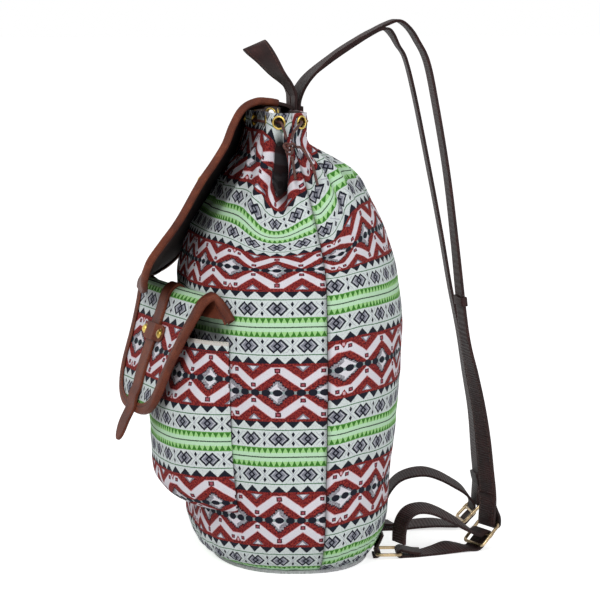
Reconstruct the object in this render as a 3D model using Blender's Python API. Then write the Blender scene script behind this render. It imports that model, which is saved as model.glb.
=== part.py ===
"""Drawstring backpack: printed cloth sack, front pocket, flaps, straps and fittings.

Frame: +Z up, the base rests on Z = 0, -Y is the pocket side, +Y is the wearer's side.
Lengths are metres and angles are degrees. Cloth pieces are closed sheets of even
thickness, cut from one surface function each.
"""
import math

import bmesh
import bpy
from mathutils import Matrix, Vector

# Fits and stock
GAP = 0.0003
CLOTH = 0.0022
LID_CLOTH = 0.0028
FLAP_CLOTH = 0.0026
STRAP = 0.0024
WEBBING = 0.0020
STRAP_WIDTH = 0.024
WEBBING_WIDTH = 0.022
BINDING = 0.0011
BINDING_WIDTH = 0.0085
BINDING_SEAT = 0.0006
BINDING_TIP_SHARE = 0.02

# Collar: the ring of cloth that holds the eyelets
EYELET_HEIGHT = 0.3885
COLLAR_BELOW = 0.0125
COLLAR_ABOVE = 0.0125
NECK_HEIGHT = EYELET_HEIGHT - COLLAR_BELOW
RIM_HEIGHT = EYELET_HEIGHT + COLLAR_ABOVE

# Sack: height, half width, front depth, back depth at each level, bottom to rim
BASE_THICK = 0.0030
BASE_SIDES = 48
SACK_LEVELS = (
    (BASE_THICK + GAP, 0.112, 0.074, 0.066),
    (0.010, 0.121, 0.085, 0.072),
    (0.026, 0.130, 0.091, 0.079),
    (0.060, 0.136, 0.094, 0.087),
    (0.130, 0.140, 0.098, 0.094),
    (0.200, 0.140, 0.100, 0.097),
    (NECK_HEIGHT - 0.130, 0.138, 0.100, 0.092),
    (NECK_HEIGHT - 0.090, 0.130, 0.091, 0.082),
    (NECK_HEIGHT - 0.055, 0.117, 0.070, 0.067),
    (NECK_HEIGHT - 0.030, 0.104, 0.052, 0.051),
    (NECK_HEIGHT, 0.086, 0.037, 0.008),
    (RIM_HEIGHT, 0.086, 0.037, 0.008),
)
FRONT_ROUNDNESS = 2.45
BACK_ROUNDNESS = 2.05
SEAM_ANGLE = 4.0
SEAM_GAP = 0.0022
PANEL_STEP = 7.5
PANEL_RING_SHARES = (0.0, 0.015, 0.055, 0.14, 0.30, 0.47, 0.62, 0.71, 0.77, 0.82, 0.86, 0.90, 0.942, 1.0)

# Gathers of the neck, which start at their own drop below it
NECK_LEAN = 0.0145
LEAN_FROM = NECK_HEIGHT - 0.130
GATHER_FROM = NECK_HEIGHT - 0.055
PLEAT_DEPTH = 0.0030
FOLD_DEPTH = 0.0024
FOLD_COUNT = 18
FOLD_PEAK = NECK_HEIGHT - 0.030
FOLD_FROM = NECK_HEIGHT - 0.076
GUSSET_ANGLE = 14.0
GUSSET_SPREAD = 7.0
GUSSET_DEPTH = 0.013
DENT_DEPTH = 0.0130
DENT_HALF_WIDTH = 0.033
DENT_FROM = NECK_HEIGHT - 0.045
DENT_SQUARENESS = 6

# Eyelets and drawcord
EYELET_FRONT = (20.0, 50.0, 77.0)
EYELET_BACK = (24.0, 44.0, 62.0)
EYELET_BORE = 0.0040
EYELET_BARREL = 0.0046
EYELET_FLANGE = 0.0064
EYELET_MARGIN = 0.0005
EYELET_PLATE = 0.0008
EYELET_SEAT = 0.00045
CLOTH_HOLE = 0.0051
CORD = 0.0025
CORD_CLEAR = 0.0004
CORD_STEP = 0.0029
CORD_LONG_SPAN = 40.0
KNOT = (0.1010, -0.0190, NECK_HEIGHT - 0.0080)
KNOT_SCALE = 0.00175
KNOT_STEPS = 30
TAIL_LONG_STEPS = 10
TAIL_SHORT_STEPS = 7
CORD_FALL_BACK = ((-0.0020, 0.0022, 0.0075), (-0.0055, 0.0050, 0.0135))
CORD_FALL_FRONT = ((-0.0020, -0.0022, 0.0075), (-0.0065, -0.0030, 0.0135))
TAIL_LONG = ((0.0010, 0.0061, 0.0010), (0.0015, 0.0110, -0.0010), (0.0050, 0.0190, -0.0150),
             (0.0130, 0.0220, -0.0310))
TAIL_SHORT = ((0.0010, 0.0020, -0.0070), (0.0020, 0.0030, -0.0130), (0.0070, 0.0040, -0.0260))

# Front pocket, whose mouth follows the crease of its flap
FLAP_CREASE = (0.022, -0.106, NECK_HEIGHT - 0.134)
POCKET_CENTRE = 0.022
POCKET_HALF = 0.088
POCKET_BOTTOM = 0.056
POCKET_TOP = FLAP_CREASE[2] - 0.038
POCKET_SWELL = 0.028
POCKET_FLOOR_RADIUS = 0.024
POCKET_MOUTH_SHARE = 0.42
POCKET_FULL_HEIGHT = POCKET_TOP - 0.069
POCKET_COLUMNS = 12
POCKET_ROW_SHARES = (0.0, 0.02, 0.06, 0.11, 0.17, 0.35, 0.54, 0.66, 0.77, 0.88, 1.0)

# Pocket flap: rows of its profile are share of length, distance out and height over the crease
FLAP_YAW = 12.0
FLAP_HALF = 0.079
FLAP_ROOT_HALF = 0.084
FLAP_ROOT_HEIGHT = FLAP_CREASE[2] - 0.019
FLAP_RISE = 0.014
FLAP_SQUARENESS = 3
FLAP_TAPER = 0.1
FLAP_PROFILE = (
    (0.00, -0.0060, -0.0190), (0.08, -0.0040, -0.0080), (0.16, 0.0010, 0.0000),
    (0.22, 0.0070, -0.0050), (0.34, 0.0125, -0.0200), (0.50, 0.0195, -0.0400),
    (0.76, 0.0320, -0.0760), (1.00, 0.0400, -0.1080),
)
FLAP_COLUMN_SHARES = (0.0, 0.055, 0.15, 0.26, 0.38, 0.62, 0.74, 0.85, 0.945, 1.0)
FLAP_ROW_SHARES = (0.0, 0.05, 0.10, 0.13, 0.16, 0.19, 0.22, 0.27, 0.34, 0.44, 0.55, 0.64, 0.75, 0.84,
             0.90, 0.94, 0.965, 0.985)
FLAP_TIP_STEPS = 4
FLAP_ROOT_SEAT = 0.0036
FLAP_STRAP_SHARES = (0.12, 0.99)
FLAP_STRAP_CLIMB_SHARE = 0.88
FLAP_STRAP_TAIL = ((-0.0010, -0.0060, -0.0130), (-0.0020, -0.0115, -0.0290))
FLAP_KEEPER_SHARES = (0.44, 0.55)

# Lid: centre line (Y, Z), half width, roll and crown of each station, root to tip
LID_STATIONS = (
    (-0.0023, NECK_HEIGHT + 0.0030, 0.0200, 0.0, 0.0000),
    (-0.0023, NECK_HEIGHT + 0.0260, 0.0215, 0.0, 0.0000),
    (-0.0075, NECK_HEIGHT + 0.0320, 0.0400, 0.0, 0.0000),
    (-0.0220, NECK_HEIGHT + 0.0330, 0.0700, 0.0, 0.0005),
    (-0.0402, NECK_HEIGHT + 0.0300, 0.0810, 3.0, 0.0010),
    (-0.0515, NECK_HEIGHT + 0.0090, 0.0850, 8.0, 0.0010),
    (-0.0615, NECK_HEIGHT - 0.0160, 0.0860, 10.5, 0.0010),
    (-0.0805, NECK_HEIGHT - 0.0472, 0.0870, 11.0, 0.0010),
    (-0.0985, NECK_HEIGHT - 0.0778, 0.0880, 11.0, 0.0010),
    (-0.1140, NECK_HEIGHT - 0.1003, 0.0860, 10.0, 0.0015),
    (-0.1290, NECK_HEIGHT - 0.1175, 0.0760, 6.0, 0.0015),
    (-0.1350, NECK_HEIGHT - 0.1280, 0.0560, 2.0, 0.0010),
    (-0.1365, NECK_HEIGHT - 0.1385, 0.0160, 0.0, 0.0000),
)
LID_COLUMN_SHARES = (0.0, 0.055, 0.2, 0.43, 0.57, 0.8, 0.945, 1.0)
LID_ROW_SHARES = (0.0, 0.083, 0.125, 0.167, 0.21, 0.25, 0.29, 0.333, 0.375, 0.417, 0.5, 0.583, 0.640,
            0.670, 0.75, 0.79, 0.833, 0.875, 0.917, 0.96, 1.0)
LID_TIP_STEPS = 2
LID_BINDING_SHARE = 0.2
LID_STRAP_LIFT = 0.0004
LID_STRAP_SHARES = (0.37, 0.88)
LID_KEEPER_SHARES = (0.640, 0.670)
LID_STRAP_WIDTH = 0.020

# Riveted keepers
KEEPER = 0.0018
KEEPER_HEIGHT = 0.013
KEEPER_RAMP = 0.0042
KEEPER_EASE = 0.0006
KEEPER_MARGIN = 0.0014
RIVET_RADIUS = 0.0044
RIVET_HEIGHT = 0.0032
FLAP_STRAP_WIDTH = 0.020

# Stack behind the neck: Y of handle, straps and patch
STACK = (0.0, 0.0006, 0.0033, 0.0058)
STACK_BOTTOM = NECK_HEIGHT + 0.0025
PATCH_SIZE = (0.050, 0.0020, 0.0215)
HANDLE_WIDTH = 0.022
HANDLE_EDGE_WAY = (0.92, 0.39)
HANDLE_HALF = (
    (0.0130, STACK[1], STACK_BOTTOM, 0.0),
    (0.0130, STACK[1], NECK_HEIGHT + 0.0285, 0.0),
    (0.0138, -0.0010, NECK_HEIGHT + 0.0360, 4.0),
    (0.0150, -0.0060, NECK_HEIGHT + 0.0440, 10.0),
    (0.0155, -0.0145, NECK_HEIGHT + 0.0530, 22.0),
    (0.0140, -0.0240, NECK_HEIGHT + 0.0660, 42.0),
    (0.0080, -0.0310, NECK_HEIGHT + 0.0745, 70.0),
    (0.0000, -0.0330, NECK_HEIGHT + 0.0770, 90.0),
)

# Straps: X, Y, Z and turn of the width out of X
STRAP_RIGHT = (
    (0.0127, STACK[2], STACK_BOTTOM, 0),
    (0.0127, STACK[2], NECK_HEIGHT + 0.0230, 0),
    (0.0130, 0.0048, NECK_HEIGHT + 0.0320, 0),
    (0.0140, 0.0092, NECK_HEIGHT + 0.0420, 0),
    (0.0160, 0.0165, NECK_HEIGHT + 0.0520, 0),
    (0.0180, 0.0320, NECK_HEIGHT + 0.0670, 0),
    (0.0220, 0.0490, NECK_HEIGHT + 0.0790, 0),
    (0.0270, 0.0660, NECK_HEIGHT + 0.0890, 0),
    (0.0320, 0.0800, NECK_HEIGHT + 0.0965, 0),
    (0.0360, 0.0890, NECK_HEIGHT + 0.0990, -1),
    (0.0400, 0.0970, NECK_HEIGHT + 0.0930, -2),
    (0.0430, 0.1040, NECK_HEIGHT + 0.0820, -2),
    (0.0450, 0.1130, 0.4390, -2),
    (0.0475, 0.1205, 0.4020, -2),
    (0.0490, 0.1310, 0.3400, -2),
    (0.0500, 0.1390, 0.2750, 0),
    (0.0500, 0.1475, 0.2000, 4),
    (0.0480, 0.1560, 0.1620, 9),
    (0.0460, 0.1620, 0.1340, 13),
    (0.0440, 0.1670, 0.1050, 16),
    (0.0430, 0.1705, 0.0740, 18),
    (0.0420, 0.1730, 0.0480, 20),
)
STRAP_LEFT = (
    (-0.0127, STACK[2], STACK_BOTTOM, 0),
    (-0.0127, STACK[2], NECK_HEIGHT + 0.0230, 0),
    (-0.0128, 0.0050, NECK_HEIGHT + 0.0320, 2),
    (-0.0135, 0.0110, NECK_HEIGHT + 0.0420, 5),
    (-0.0145, 0.0210, NECK_HEIGHT + 0.0520, 9),
    (-0.0180, 0.0390, NECK_HEIGHT + 0.0650, 10),
    (-0.0220, 0.0580, NECK_HEIGHT + 0.0770, 10),
    (-0.0260, 0.0720, NECK_HEIGHT + 0.0850, 9),
    (-0.0300, 0.0840, NECK_HEIGHT + 0.0905, 7),
    (-0.0340, 0.0930, NECK_HEIGHT + 0.0910, 4),
    (-0.0370, 0.0990, NECK_HEIGHT + 0.0860, 0),
    (-0.0390, 0.1050, NECK_HEIGHT + 0.0760, -4),
    (-0.0420, 0.1130, 0.4390, -6),
    (-0.0455, 0.1230, 0.4030, -6),
    (-0.0485, 0.1370, 0.3390, -6),
    (-0.0500, 0.1490, 0.2800, -6),
    (-0.0500, 0.1580, 0.2300, -6),
    (-0.0495, 0.1670, 0.1860, -5),
    (-0.0480, 0.1730, 0.1470, -4),
    (-0.0460, 0.1790, 0.1100, -2),
    (-0.0450, 0.1825, 0.0700, 0),
    (-0.0450, 0.1842, 0.0500, 0),
)
STRAP_RETURN = ((0.0028, 0.0060), (-0.0002, 0.0125), (-0.0028, 0.0190), (-0.0046, 0.0270))
STRAP_STEPS = 1
STRAP_LOOP_SHARE = 0.52
LOOP_BAND = 0.0012
LOOP_BAND_HEIGHT = 0.008

# Slides and rings
BAR = 0.0015
BAR_SIDES = 8
CENTRE_BAR = 0.0012
LOOP_RADIUS = 0.0035
LOOP_CORNER_STEPS = 2
BEND_CLEAR = 0.0005
SLIDE_TILT = 45.0
SLIDE_INNER = 0.0265
SLIDE_LENGTH = 0.0250
SLIDE_RIGHT = (0.0410, 0.1675, 0.0148)
SLIDE_YAW_RIGHT = 20.0
SLIDE_LEFT = (-0.0450, 0.1775, 0.0175)
SLIDE_YAW_LEFT = 0.0
RING_INNER = 0.0265
RING_LENGTH = 0.0215
RING_RIGHT = (0.0570, 0.0775, 0.0044)
RING_LEFT = (-0.0560, 0.0775, 0.0044)
RING_RETURN = ((0.0180, 0.0000), (0.0120, 0.0004), (0.0060, 0.0016), (0.0015, 0.0028))

# Lower straps: X, Y, Z, turn of the width and drop of its +X edge
RUN_RIGHT = (
    (0.0570, 0.0910, 0.00115, 0, 0), (0.0566, 0.1000, 0.00115, 4, 0), (0.0550, 0.1100, 0.0014, 8, 0),
    (0.0525, 0.1220, 0.0026, 11, 6), (0.0497, 0.1350, 0.0044, 13, 14), (0.0465, 0.1480, 0.0033, 17, 6),
    (0.0444, 0.1570, 0.0018, 19, 0),
)
ARCH_RIGHT = (
    (0.0432, 0.1610, 0.0155, 18, 6), (0.0445, 0.1550, 0.0190, 14, 12), (0.0460, 0.1450, 0.0255, 10, 17),
    (0.0510, 0.1270, 0.0360, 8, 18), (0.0550, 0.1140, 0.0415, 10, 16), (0.0590, 0.1020, 0.0425, 14, 10),
    (0.0610, 0.0945, 0.0395, 16, 5), (0.0620, 0.0895, 0.0330, 17, 0), (0.0625, 0.0870, 0.0240, 17, 0),
    (0.0625, 0.0865, 0.0130, 17, 0),
)
RUN_LEFT = (
    (-0.0560, 0.0910, 0.00115, 0, 0), (-0.0558, 0.1000, 0.00115, 0, 0), (-0.0550, 0.1120, 0.0016, 0, 2),
    (-0.0535, 0.1280, 0.0040, 0, 8), (-0.0510, 0.1440, 0.0050, 0, 8), (-0.0480, 0.1560, 0.0044, 0, 4),
    (-0.0460, 0.1648, 0.0038, 0, 0),
)
ARCH_LEFT = (
    (-0.0452, 0.1800, 0.0245, 0, 4), (-0.0456, 0.1770, 0.0300, 0, 8), (-0.0465, 0.1710, 0.0370, 0, 12),
    (-0.0480, 0.1620, 0.0430, 0, 14), (-0.0500, 0.1490, 0.0500, 0, 14), (-0.0540, 0.1360, 0.0535, 0, 12),
    (-0.0560, 0.1220, 0.0520, 0, 9), (-0.0575, 0.1110, 0.0470, 0, 5), (-0.0585, 0.1030, 0.0380, 0, 2),
    (-0.0590, 0.0985, 0.0280, 0, 0), (-0.0590, 0.0975, 0.0160, 0, 0),
)
RING_YAW = 8.0
TAB_WIDTH = 0.0200
TAB_SEAT = 0.0012
TAB_HEIGHTS = (0.022, 0.016, 0.0115)
TAB_FOOT = 0.0030
TAB_STEPS = 2

RUST_LEATHER = (0.23, 0.075, 0.045)
DARK_LEATHER = (0.055, 0.024, 0.026)
CANVAS = (0.42, 0.20, 0.20)
CANVAS_PALE = (0.62, 0.66, 0.64)
CANVAS_BACK = (0.36, 0.17, 0.17)
GOLD = (0.78, 0.58, 0.28)
CORD_BROWN = (0.12, 0.05, 0.03)


def clear_scene():
    for thing in list(bpy.data.objects):
        bpy.data.objects.remove(thing, do_unlink=True)


def material(name, colour, roughness=0.8, metallic=0.0):
    found = bpy.data.materials.get(name)
    if found:
        return found
    made = bpy.data.materials.new(name)
    made.use_nodes = True
    shader = made.node_tree.nodes["Principled BSDF"]
    shader.inputs["Base Color"].default_value = (*colour, 1.0)
    shader.inputs["Roughness"].default_value = roughness
    shader.inputs["Metallic"].default_value = metallic
    made.diffuse_color = (*colour, 1.0)
    return made


def smooth_between(rows, x):
    """Values between the rows of a table, through a cubic that never overshoots."""
    keys = [row[0] for row in rows]
    x = min(max(x, keys[0]), keys[-1])
    i = max(k for k in range(len(rows) - 1) if keys[k] <= x)

    def secant(k, c):
        return (rows[k + 1][c] - rows[k][c]) / (keys[k + 1] - keys[k])

    def tangent(k, c):
        if k == 0:
            return secant(0, c)
        if k == len(rows) - 1:
            return secant(k - 1, c)
        before, after = secant(k - 1, c), secant(k, c)
        return 0.0 if before * after <= 0 else 2 * before * after / (before + after)

    step = keys[i + 1] - keys[i]
    s = (x - keys[i]) / step
    values = []
    for c in range(1, len(rows[0])):
        values.append(
            (1 + 2 * s) * (1 - s) ** 2 * rows[i][c]
            + s * (1 - s) ** 2 * step * tangent(i, c)
            + s * s * (3 - 2 * s) * rows[i + 1][c]
            + s * s * (s - 1) * step * tangent(i + 1, c)
        )
    return values


def smooth_step(a, b, x):
    s = min(max((x - a) / (b - a), 0.0), 1.0)
    return s * s * (3 - 2 * s)


def bump(a, peak, b, x):
    return smooth_step(a, peak, x) * (1 - smooth_step(peak, b, x))


def through(points, s):
    """Point at share s of a Catmull-Rom curve through the points."""
    spans = len(points) - 1
    s = min(max(s, 0.0), 1.0) * spans
    i = min(int(s), spans - 1)
    t = s - i
    p1, p2 = Vector(points[i]), Vector(points[i + 1])
    p0 = Vector(points[i - 1]) if i > 0 else 2 * p1 - p2
    p3 = Vector(points[i + 2]) if i < spans - 1 else 2 * p2 - p1
    return 0.5 * (2 * p1 + (p2 - p0) * t + (2 * p0 - 5 * p1 + 4 * p2 - p3) * t * t
                  + (3 * p1 - p0 - 3 * p2 + p3) * t ** 3)


def link(name, data, look):
    thing = bpy.data.objects.new(name, data)
    bpy.context.scene.collection.objects.link(thing)
    data.materials.append(look)
    return thing


def mesh_object(name, bm, look, sharp=40.0):
    bmesh.ops.remove_doubles(bm, verts=bm.verts, dist=1e-6)
    bmesh.ops.triangulate(bm, faces=bm.faces, quad_method="SHORT_EDGE")
    bmesh.ops.recalc_face_normals(bm, faces=bm.faces)
    if bm.calc_volume(signed=True) < 0:
        bmesh.ops.reverse_faces(bm, faces=bm.faces)
    data = bpy.data.meshes.new(name)
    bm.to_mesh(data)
    bm.free()
    data.shade_smooth()
    data.set_sharp_from_angle(angle=math.radians(sharp))
    return link(name, data, look)


def normal_of(surface, u, v):
    """Unit normal of a surface function, by differences kept inside its square."""
    d = 1e-3
    u0, u1, v0, v1 = max(u - d, 0), min(u + d, 1), max(v - d, 0), min(v + d, 1)
    return (surface(u1, v) - surface(u0, v)).cross(surface(u, v1) - surface(u, v0)).normalized()


def patch_solid(name, u_marks, v_marks, over, under, look):
    """Closed solid between two surfaces over the unit square, from an extruded grid."""
    columns, rows = len(u_marks) - 1, len(v_marks) - 1
    bm = bmesh.new()
    bmesh.ops.create_grid(bm, x_segments=columns, y_segments=rows, size=0.5)
    bmesh.ops.translate(bm, verts=bm.verts, vec=(0.5, 0.5, 0))
    lifted = bmesh.ops.extrude_face_region(bm, geom=bm.faces[:])["geom"]
    tops = {g for g in lifted if isinstance(g, bmesh.types.BMVert)}
    for vert in bm.verts:
        u, v = u_marks[round(vert.co.x * columns)], v_marks[round(vert.co.y * rows)]
        vert.co = over(u, v) if vert in tops else under(u, v)
    return mesh_object(name, bm, look)


def sheet(name, surface, thickness, u_marks, v_marks, look):
    """Cloth or leather of even thickness whose middle is the surface."""
    def side(offset):
        return lambda u, v: surface(u, v) + normal_of(surface, u, v) * offset
    return patch_solid(name, u_marks, v_marks, side(thickness / 2), side(-thickness / 2), look)


def evenly(count):
    return [k / count for k in range(count + 1)]


def ribbon_surface(stations, width):
    """Surface of a strap: stations are (point, direction of the width)."""
    points = [s[0] for s in stations]
    spreads = [s[1] for s in stations]

    def at(u, v):
        return through(points, v) + through(spreads, v).normalized() * (u - 0.5) * width
    return at


def ribbon(name, stations, width, thickness, steps, look):
    return sheet(name, ribbon_surface(stations, width), thickness, (0.0, 1.0), evenly(steps), look)


def skin(name, rings, look, closed=False):
    """Closed solid through rings of points, its ends capped or joined to each other."""
    bm = bmesh.new()
    rings = [[bm.verts.new(point) for point in ring] for ring in rings]
    count = len(rings[0])
    pairs = list(zip(rings, rings[1:]))
    if closed:
        pairs.append((rings[-1], rings[0]))
    for first, second in pairs:
        for k in range(count):
            bm.faces.new((first[k], first[(k + 1) % count], second[(k + 1) % count], second[k]))
    if not closed:
        bm.faces.new(rings[0])
        bm.faces.new(list(reversed(rings[-1])))
    return mesh_object(name, bm, look)


def sweep(name, frames, profile, look, closed=False):
    """Profile of (out, up) pairs carried along frames of (point, out, up)."""
    rings = [[point + out * a + up * b for a, b in profile] for point, out, up in frames]
    return skin(name, rings, look, closed)


def turned(name, profile, steps, place, look):
    """Body of revolution about local Z from (radius, height) pairs."""
    bm = bmesh.new()
    verts = [bm.verts.new((r, 0.0, z)) for r, z in profile]
    edges = [bm.edges.new(pair) for pair in zip(verts, verts[1:])]
    if profile[0][0] > 0:
        edges.append(bm.edges.new((verts[-1], verts[0])))
    bmesh.ops.spin(bm, geom=verts + edges, cent=(0, 0, 0), axis=(0, 0, 1),
                   angle=math.tau, steps=steps, use_duplicate=False)
    thing = mesh_object(name, bm, look)
    thing.matrix_world = place
    return thing


def tube(name, points, radius, look, cyclic=False, resolution=2):
    curve = bpy.data.curves.new(name, "CURVE")
    curve.dimensions = "3D"
    curve.bevel_depth = radius
    curve.bevel_resolution = resolution
    curve.use_fill_caps = not cyclic
    spline = curve.splines.new("POLY")
    spline.points.add(len(points) - 1)
    for slot, point in zip(spline.points, points):
        slot.co = (*point, 1.0)
    spline.use_cyclic_u = cyclic
    return link(name, curve, look)


def place_on(point, normal, along):
    """Matrix with local Z on the normal and local X near the direction along."""
    z = normal.normalized()
    x = (along - z * along.dot(z)).normalized()
    y = z.cross(x)
    return Matrix((
        (x.x, y.x, z.x, point.x), (x.y, y.y, z.y, point.y), (x.z, y.z, z.z, point.z), (0, 0, 0, 1),
    ))


def power(value, exponent):
    return math.copysign(abs(value) ** exponent, value)


def eyelet_angles():
    """Angles of the eyelets round the neck, in degrees from +X."""
    back = list(EYELET_BACK) + [180 - a for a in reversed(EYELET_BACK)]
    front = [180 + a for a in EYELET_FRONT] + [360 - a for a in reversed(EYELET_FRONT)]
    return back + front


def pleat_wave(degrees):
    """Inward where the cord lies outside the cloth, outward where it lies inside."""
    angles = eyelet_angles()
    stops = [angles[-1] - 360] + angles + [angles[0] + 360]
    d = degrees % 360
    for k, (a, b) in enumerate(zip(stops, stops[1:])):
        if a <= d <= b:
            return (1 if k % 2 else -1) * math.sin(math.pi * (d - a) / (b - a))
    return 0.0


def angle_from(degrees, centre):
    return (degrees - centre + 180) % 360 - 180


def relief(degrees, x, z):
    """How far the cloth stands out of the plain loft, by its gathers."""
    behind = math.sin(math.radians(degrees)) > 0
    stack = math.exp(-(x / DENT_HALF_WIDTH) ** DENT_SQUARENESS) if behind else 0.0
    out = PLEAT_DEPTH * smooth_step(GATHER_FROM, NECK_HEIGHT, z) * pleat_wave(degrees) * (1 - stack)
    fold = math.cos(math.radians(degrees) * FOLD_COUNT)
    out += FOLD_DEPTH * bump(FOLD_FROM, FOLD_PEAK, NECK_HEIGHT, z) * fold
    for side in (-GUSSET_ANGLE, 180 + GUSSET_ANGLE):
        off = angle_from(degrees, side) / GUSSET_SPREAD
        out -= GUSSET_DEPTH * bump(FOLD_FROM, FOLD_PEAK, NECK_HEIGHT, z) * math.exp(-off * off)
    return out - DENT_DEPTH * smooth_step(DENT_FROM, NECK_HEIGHT, z) * stack


def neck_shift(z):
    """The neck leans to the front, so its middle moves that way."""
    return -NECK_LEAN * smooth_step(LEAN_FROM, NECK_HEIGHT, z)


def loft(degrees, z):
    """Point of the plain loft and its outward direction within the level."""
    half, front, back = smooth_between(SACK_LEVELS, z)
    t = math.radians(degrees)
    shift = neck_shift(z)
    roundness = BACK_ROUNDNESS if math.sin(t) >= 0 else FRONT_ROUNDNESS
    depth = back - shift if math.sin(t) >= 0 else front + shift
    cx, sy = math.cos(t), math.sin(t)
    point = Vector((half * power(cx, 2 / roundness), shift + depth * power(sy, 2 / roundness), z))
    way = Vector((power(cx, 2 - 2 / roundness) / half, power(sy, 2 - 2 / roundness) / depth, 0))
    return point, way.normalized()


def gathered(degrees, z):
    """Outer face of the cloth with its folds, before the eyelets draw it flat."""
    point, way = loft(degrees, z)
    return point + way * relief(degrees, point.x, z)


def sack(degrees, z):
    """Outer face of the sack's cloth: flat in the neck at each eyelet."""
    plain = gathered(degrees, z)
    flat = smooth_step(FOLD_PEAK, NECK_HEIGHT, z)
    if flat == 0.0:
        return plain
    for base in eyelet_angles():
        low, high = facet_ends(base)
        share = (angle_from(degrees, low)) / (high - low)
        if 0.0 <= share <= 1.0:
            return plain.lerp(gathered(low, z).lerp(gathered(high, z), share), flat)
    return plain


def sack_normal(degrees, z):
    d, h = 0.4, 0.0006
    low, high = max(z - h, SACK_LEVELS[0][0]), min(z + h, RIM_HEIGHT)
    round_way = sack(degrees + d, z) - sack(degrees - d, z)
    up_way = sack(degrees, high) - sack(degrees, low)
    return round_way.cross(up_way).normalized()


def sack_angle_at(x, z):
    """Angle of the front face at the given X."""
    half = smooth_between(SACK_LEVELS, z)[0]
    return -math.degrees(math.acos(power(x / half, FRONT_ROUNDNESS / 2)))


def on_sack(x, z, off):
    """Point off the front of the sack by the given distance."""
    degrees = sack_angle_at(x, z)
    return sack(degrees, z) + sack_normal(degrees, z) * off


def facet_ends(degrees):
    """Angles at the two ends of the flat that an eyelet is set in."""
    a, b = loft(degrees - 1, EYELET_HEIGHT)[0], loft(degrees + 1, EYELET_HEIGHT)[0]
    half = 2 * (EYELET_FLANGE + EYELET_MARGIN) / (b - a).length
    return degrees - half, degrees + half


def eyelet_seat(degrees):
    """Middle of the cloth at an eyelet, the way out of it and the way round the neck."""
    low, high = (sack(d, EYELET_HEIGHT) for d in facet_ends(degrees))
    along = (high - low).normalized()
    normal = along.cross(Vector((0, 0, 1)))
    return (low + high) / 2 - normal * CLOTH / 2, normal, along


def eyelet_cutter():
    bm = bmesh.new()
    for degrees in eyelet_angles():
        centre, normal, along = eyelet_seat(degrees)
        bmesh.ops.create_cone(bm, cap_ends=True, segments=12, radius1=CLOTH_HOLE, radius2=CLOTH_HOLE,
                              depth=4 * CLOTH, matrix=place_on(centre, normal, along))
    cutter = mesh_object("eyelet_cutter", bm, material("guide", CANVAS_PALE))
    cutter.hide_render = True
    cutter.display_type = "WIRE"
    return cutter


def panel_angles(start, stop):
    """Angles of a panel's columns: one at each end of every eyelet's flat, evenly filled between."""
    marks = [start]
    for base in eyelet_angles():
        for degrees in (base, base + 360):
            if start < degrees < stop:
                marks += list(facet_ends(degrees))
    marks.append(stop)
    filled = []
    for a, b in zip(marks, marks[1:]):
        count = max(1, math.ceil((b - a) / PANEL_STEP))
        filled += [a + (b - a) * k / count for k in range(count)]
    return filled + [stop]


def sack_panel(name, start, stop, look, cutter):
    """One side panel of the sack, from seam to seam, with its eyelet holes."""
    low = SACK_LEVELS[0][0]
    edge = math.degrees(SEAM_GAP / 2 / SACK_LEVELS[0][1])
    angles = panel_angles(start + edge, stop - edge)

    def over(degrees, v):
        return sack(degrees, low + (RIM_HEIGHT - low) * v)

    def under(degrees, v):
        z = low + (RIM_HEIGHT - low) * v
        inner = sack(degrees, z) - sack_normal(degrees, z) * CLOTH
        if v in (0.0, 1.0):
            inner.z = z
        return inner

    panel = patch_solid(name, angles, PANEL_RING_SHARES, over, under, look)
    holes = panel.modifiers.new("eyelet_holes", "BOOLEAN")
    holes.operation = "DIFFERENCE"
    holes.solver = "EXACT"
    holes.object = cutter


def base_panel():
    """Flat bottom that the side panels are sewn to."""
    bm = bmesh.new()
    outline = [sack(360 * k / BASE_SIDES, SACK_LEVELS[0][0]) for k in range(BASE_SIDES)]
    floor = bm.faces.new([bm.verts.new((p.x, p.y, 0)) for p in outline])
    lifted = bmesh.ops.extrude_face_region(bm, geom=[floor])["geom"]
    bmesh.ops.translate(bm, verts=[g for g in lifted if isinstance(g, bmesh.types.BMVert)],
                        vec=(0, 0, BASE_THICK))
    mesh_object("base_panel", bm, material("canvas_back", CANVAS_BACK))


def eyelets():
    half = CLOTH / 2 + EYELET_SEAT
    top = half + EYELET_PLATE
    profile = [
        (EYELET_BORE, -top), (EYELET_FLANGE, -top), (EYELET_FLANGE, -half), (EYELET_BARREL, -half),
        (EYELET_BARREL, half), (EYELET_FLANGE, half), (EYELET_FLANGE, top), (EYELET_BORE, top),
    ]
    gold = material("gold", GOLD, 0.3, 1.0)
    for k, degrees in enumerate(eyelet_angles(), 1):
        centre, normal, along = eyelet_seat(degrees)
        turned(f"eyelet_{k:02d}", profile, 10, place_on(centre, normal, along), gold)


def cord_points():
    """Drawcord from the knot round the neck and back, outside and inside by turns."""
    angles = eyelet_angles()
    reach = CLOTH / 2 + EYELET_SEAT + EYELET_PLATE + CORD / 2 + CORD_CLEAR
    knot = Vector(KNOT)
    points = [knot + Vector(p) for p in CORD_FALL_BACK]
    for k, degrees in enumerate(angles):
        side = 1 if k % 2 == 0 else -1
        centre, normal, along = eyelet_seat(degrees)
        points.append(centre - along * CORD_STEP + normal * side * reach)
        points.append(centre + along * CORD_STEP - normal * side * reach)
        if k == len(angles) - 1:
            break
        span = angles[k + 1] - degrees
        inner = 4 if span > CORD_LONG_SPAN else 2
        for j in range(1, inner + 1):
            between = degrees + span * j / (inner + 1)
            away = sack_normal(between, EYELET_HEIGHT)
            middle = sack(between, EYELET_HEIGHT) - away * CLOTH / 2
            points.append(middle - away * side * reach)
    return points + [knot + Vector(p) for p in reversed(CORD_FALL_FRONT)]


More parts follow.
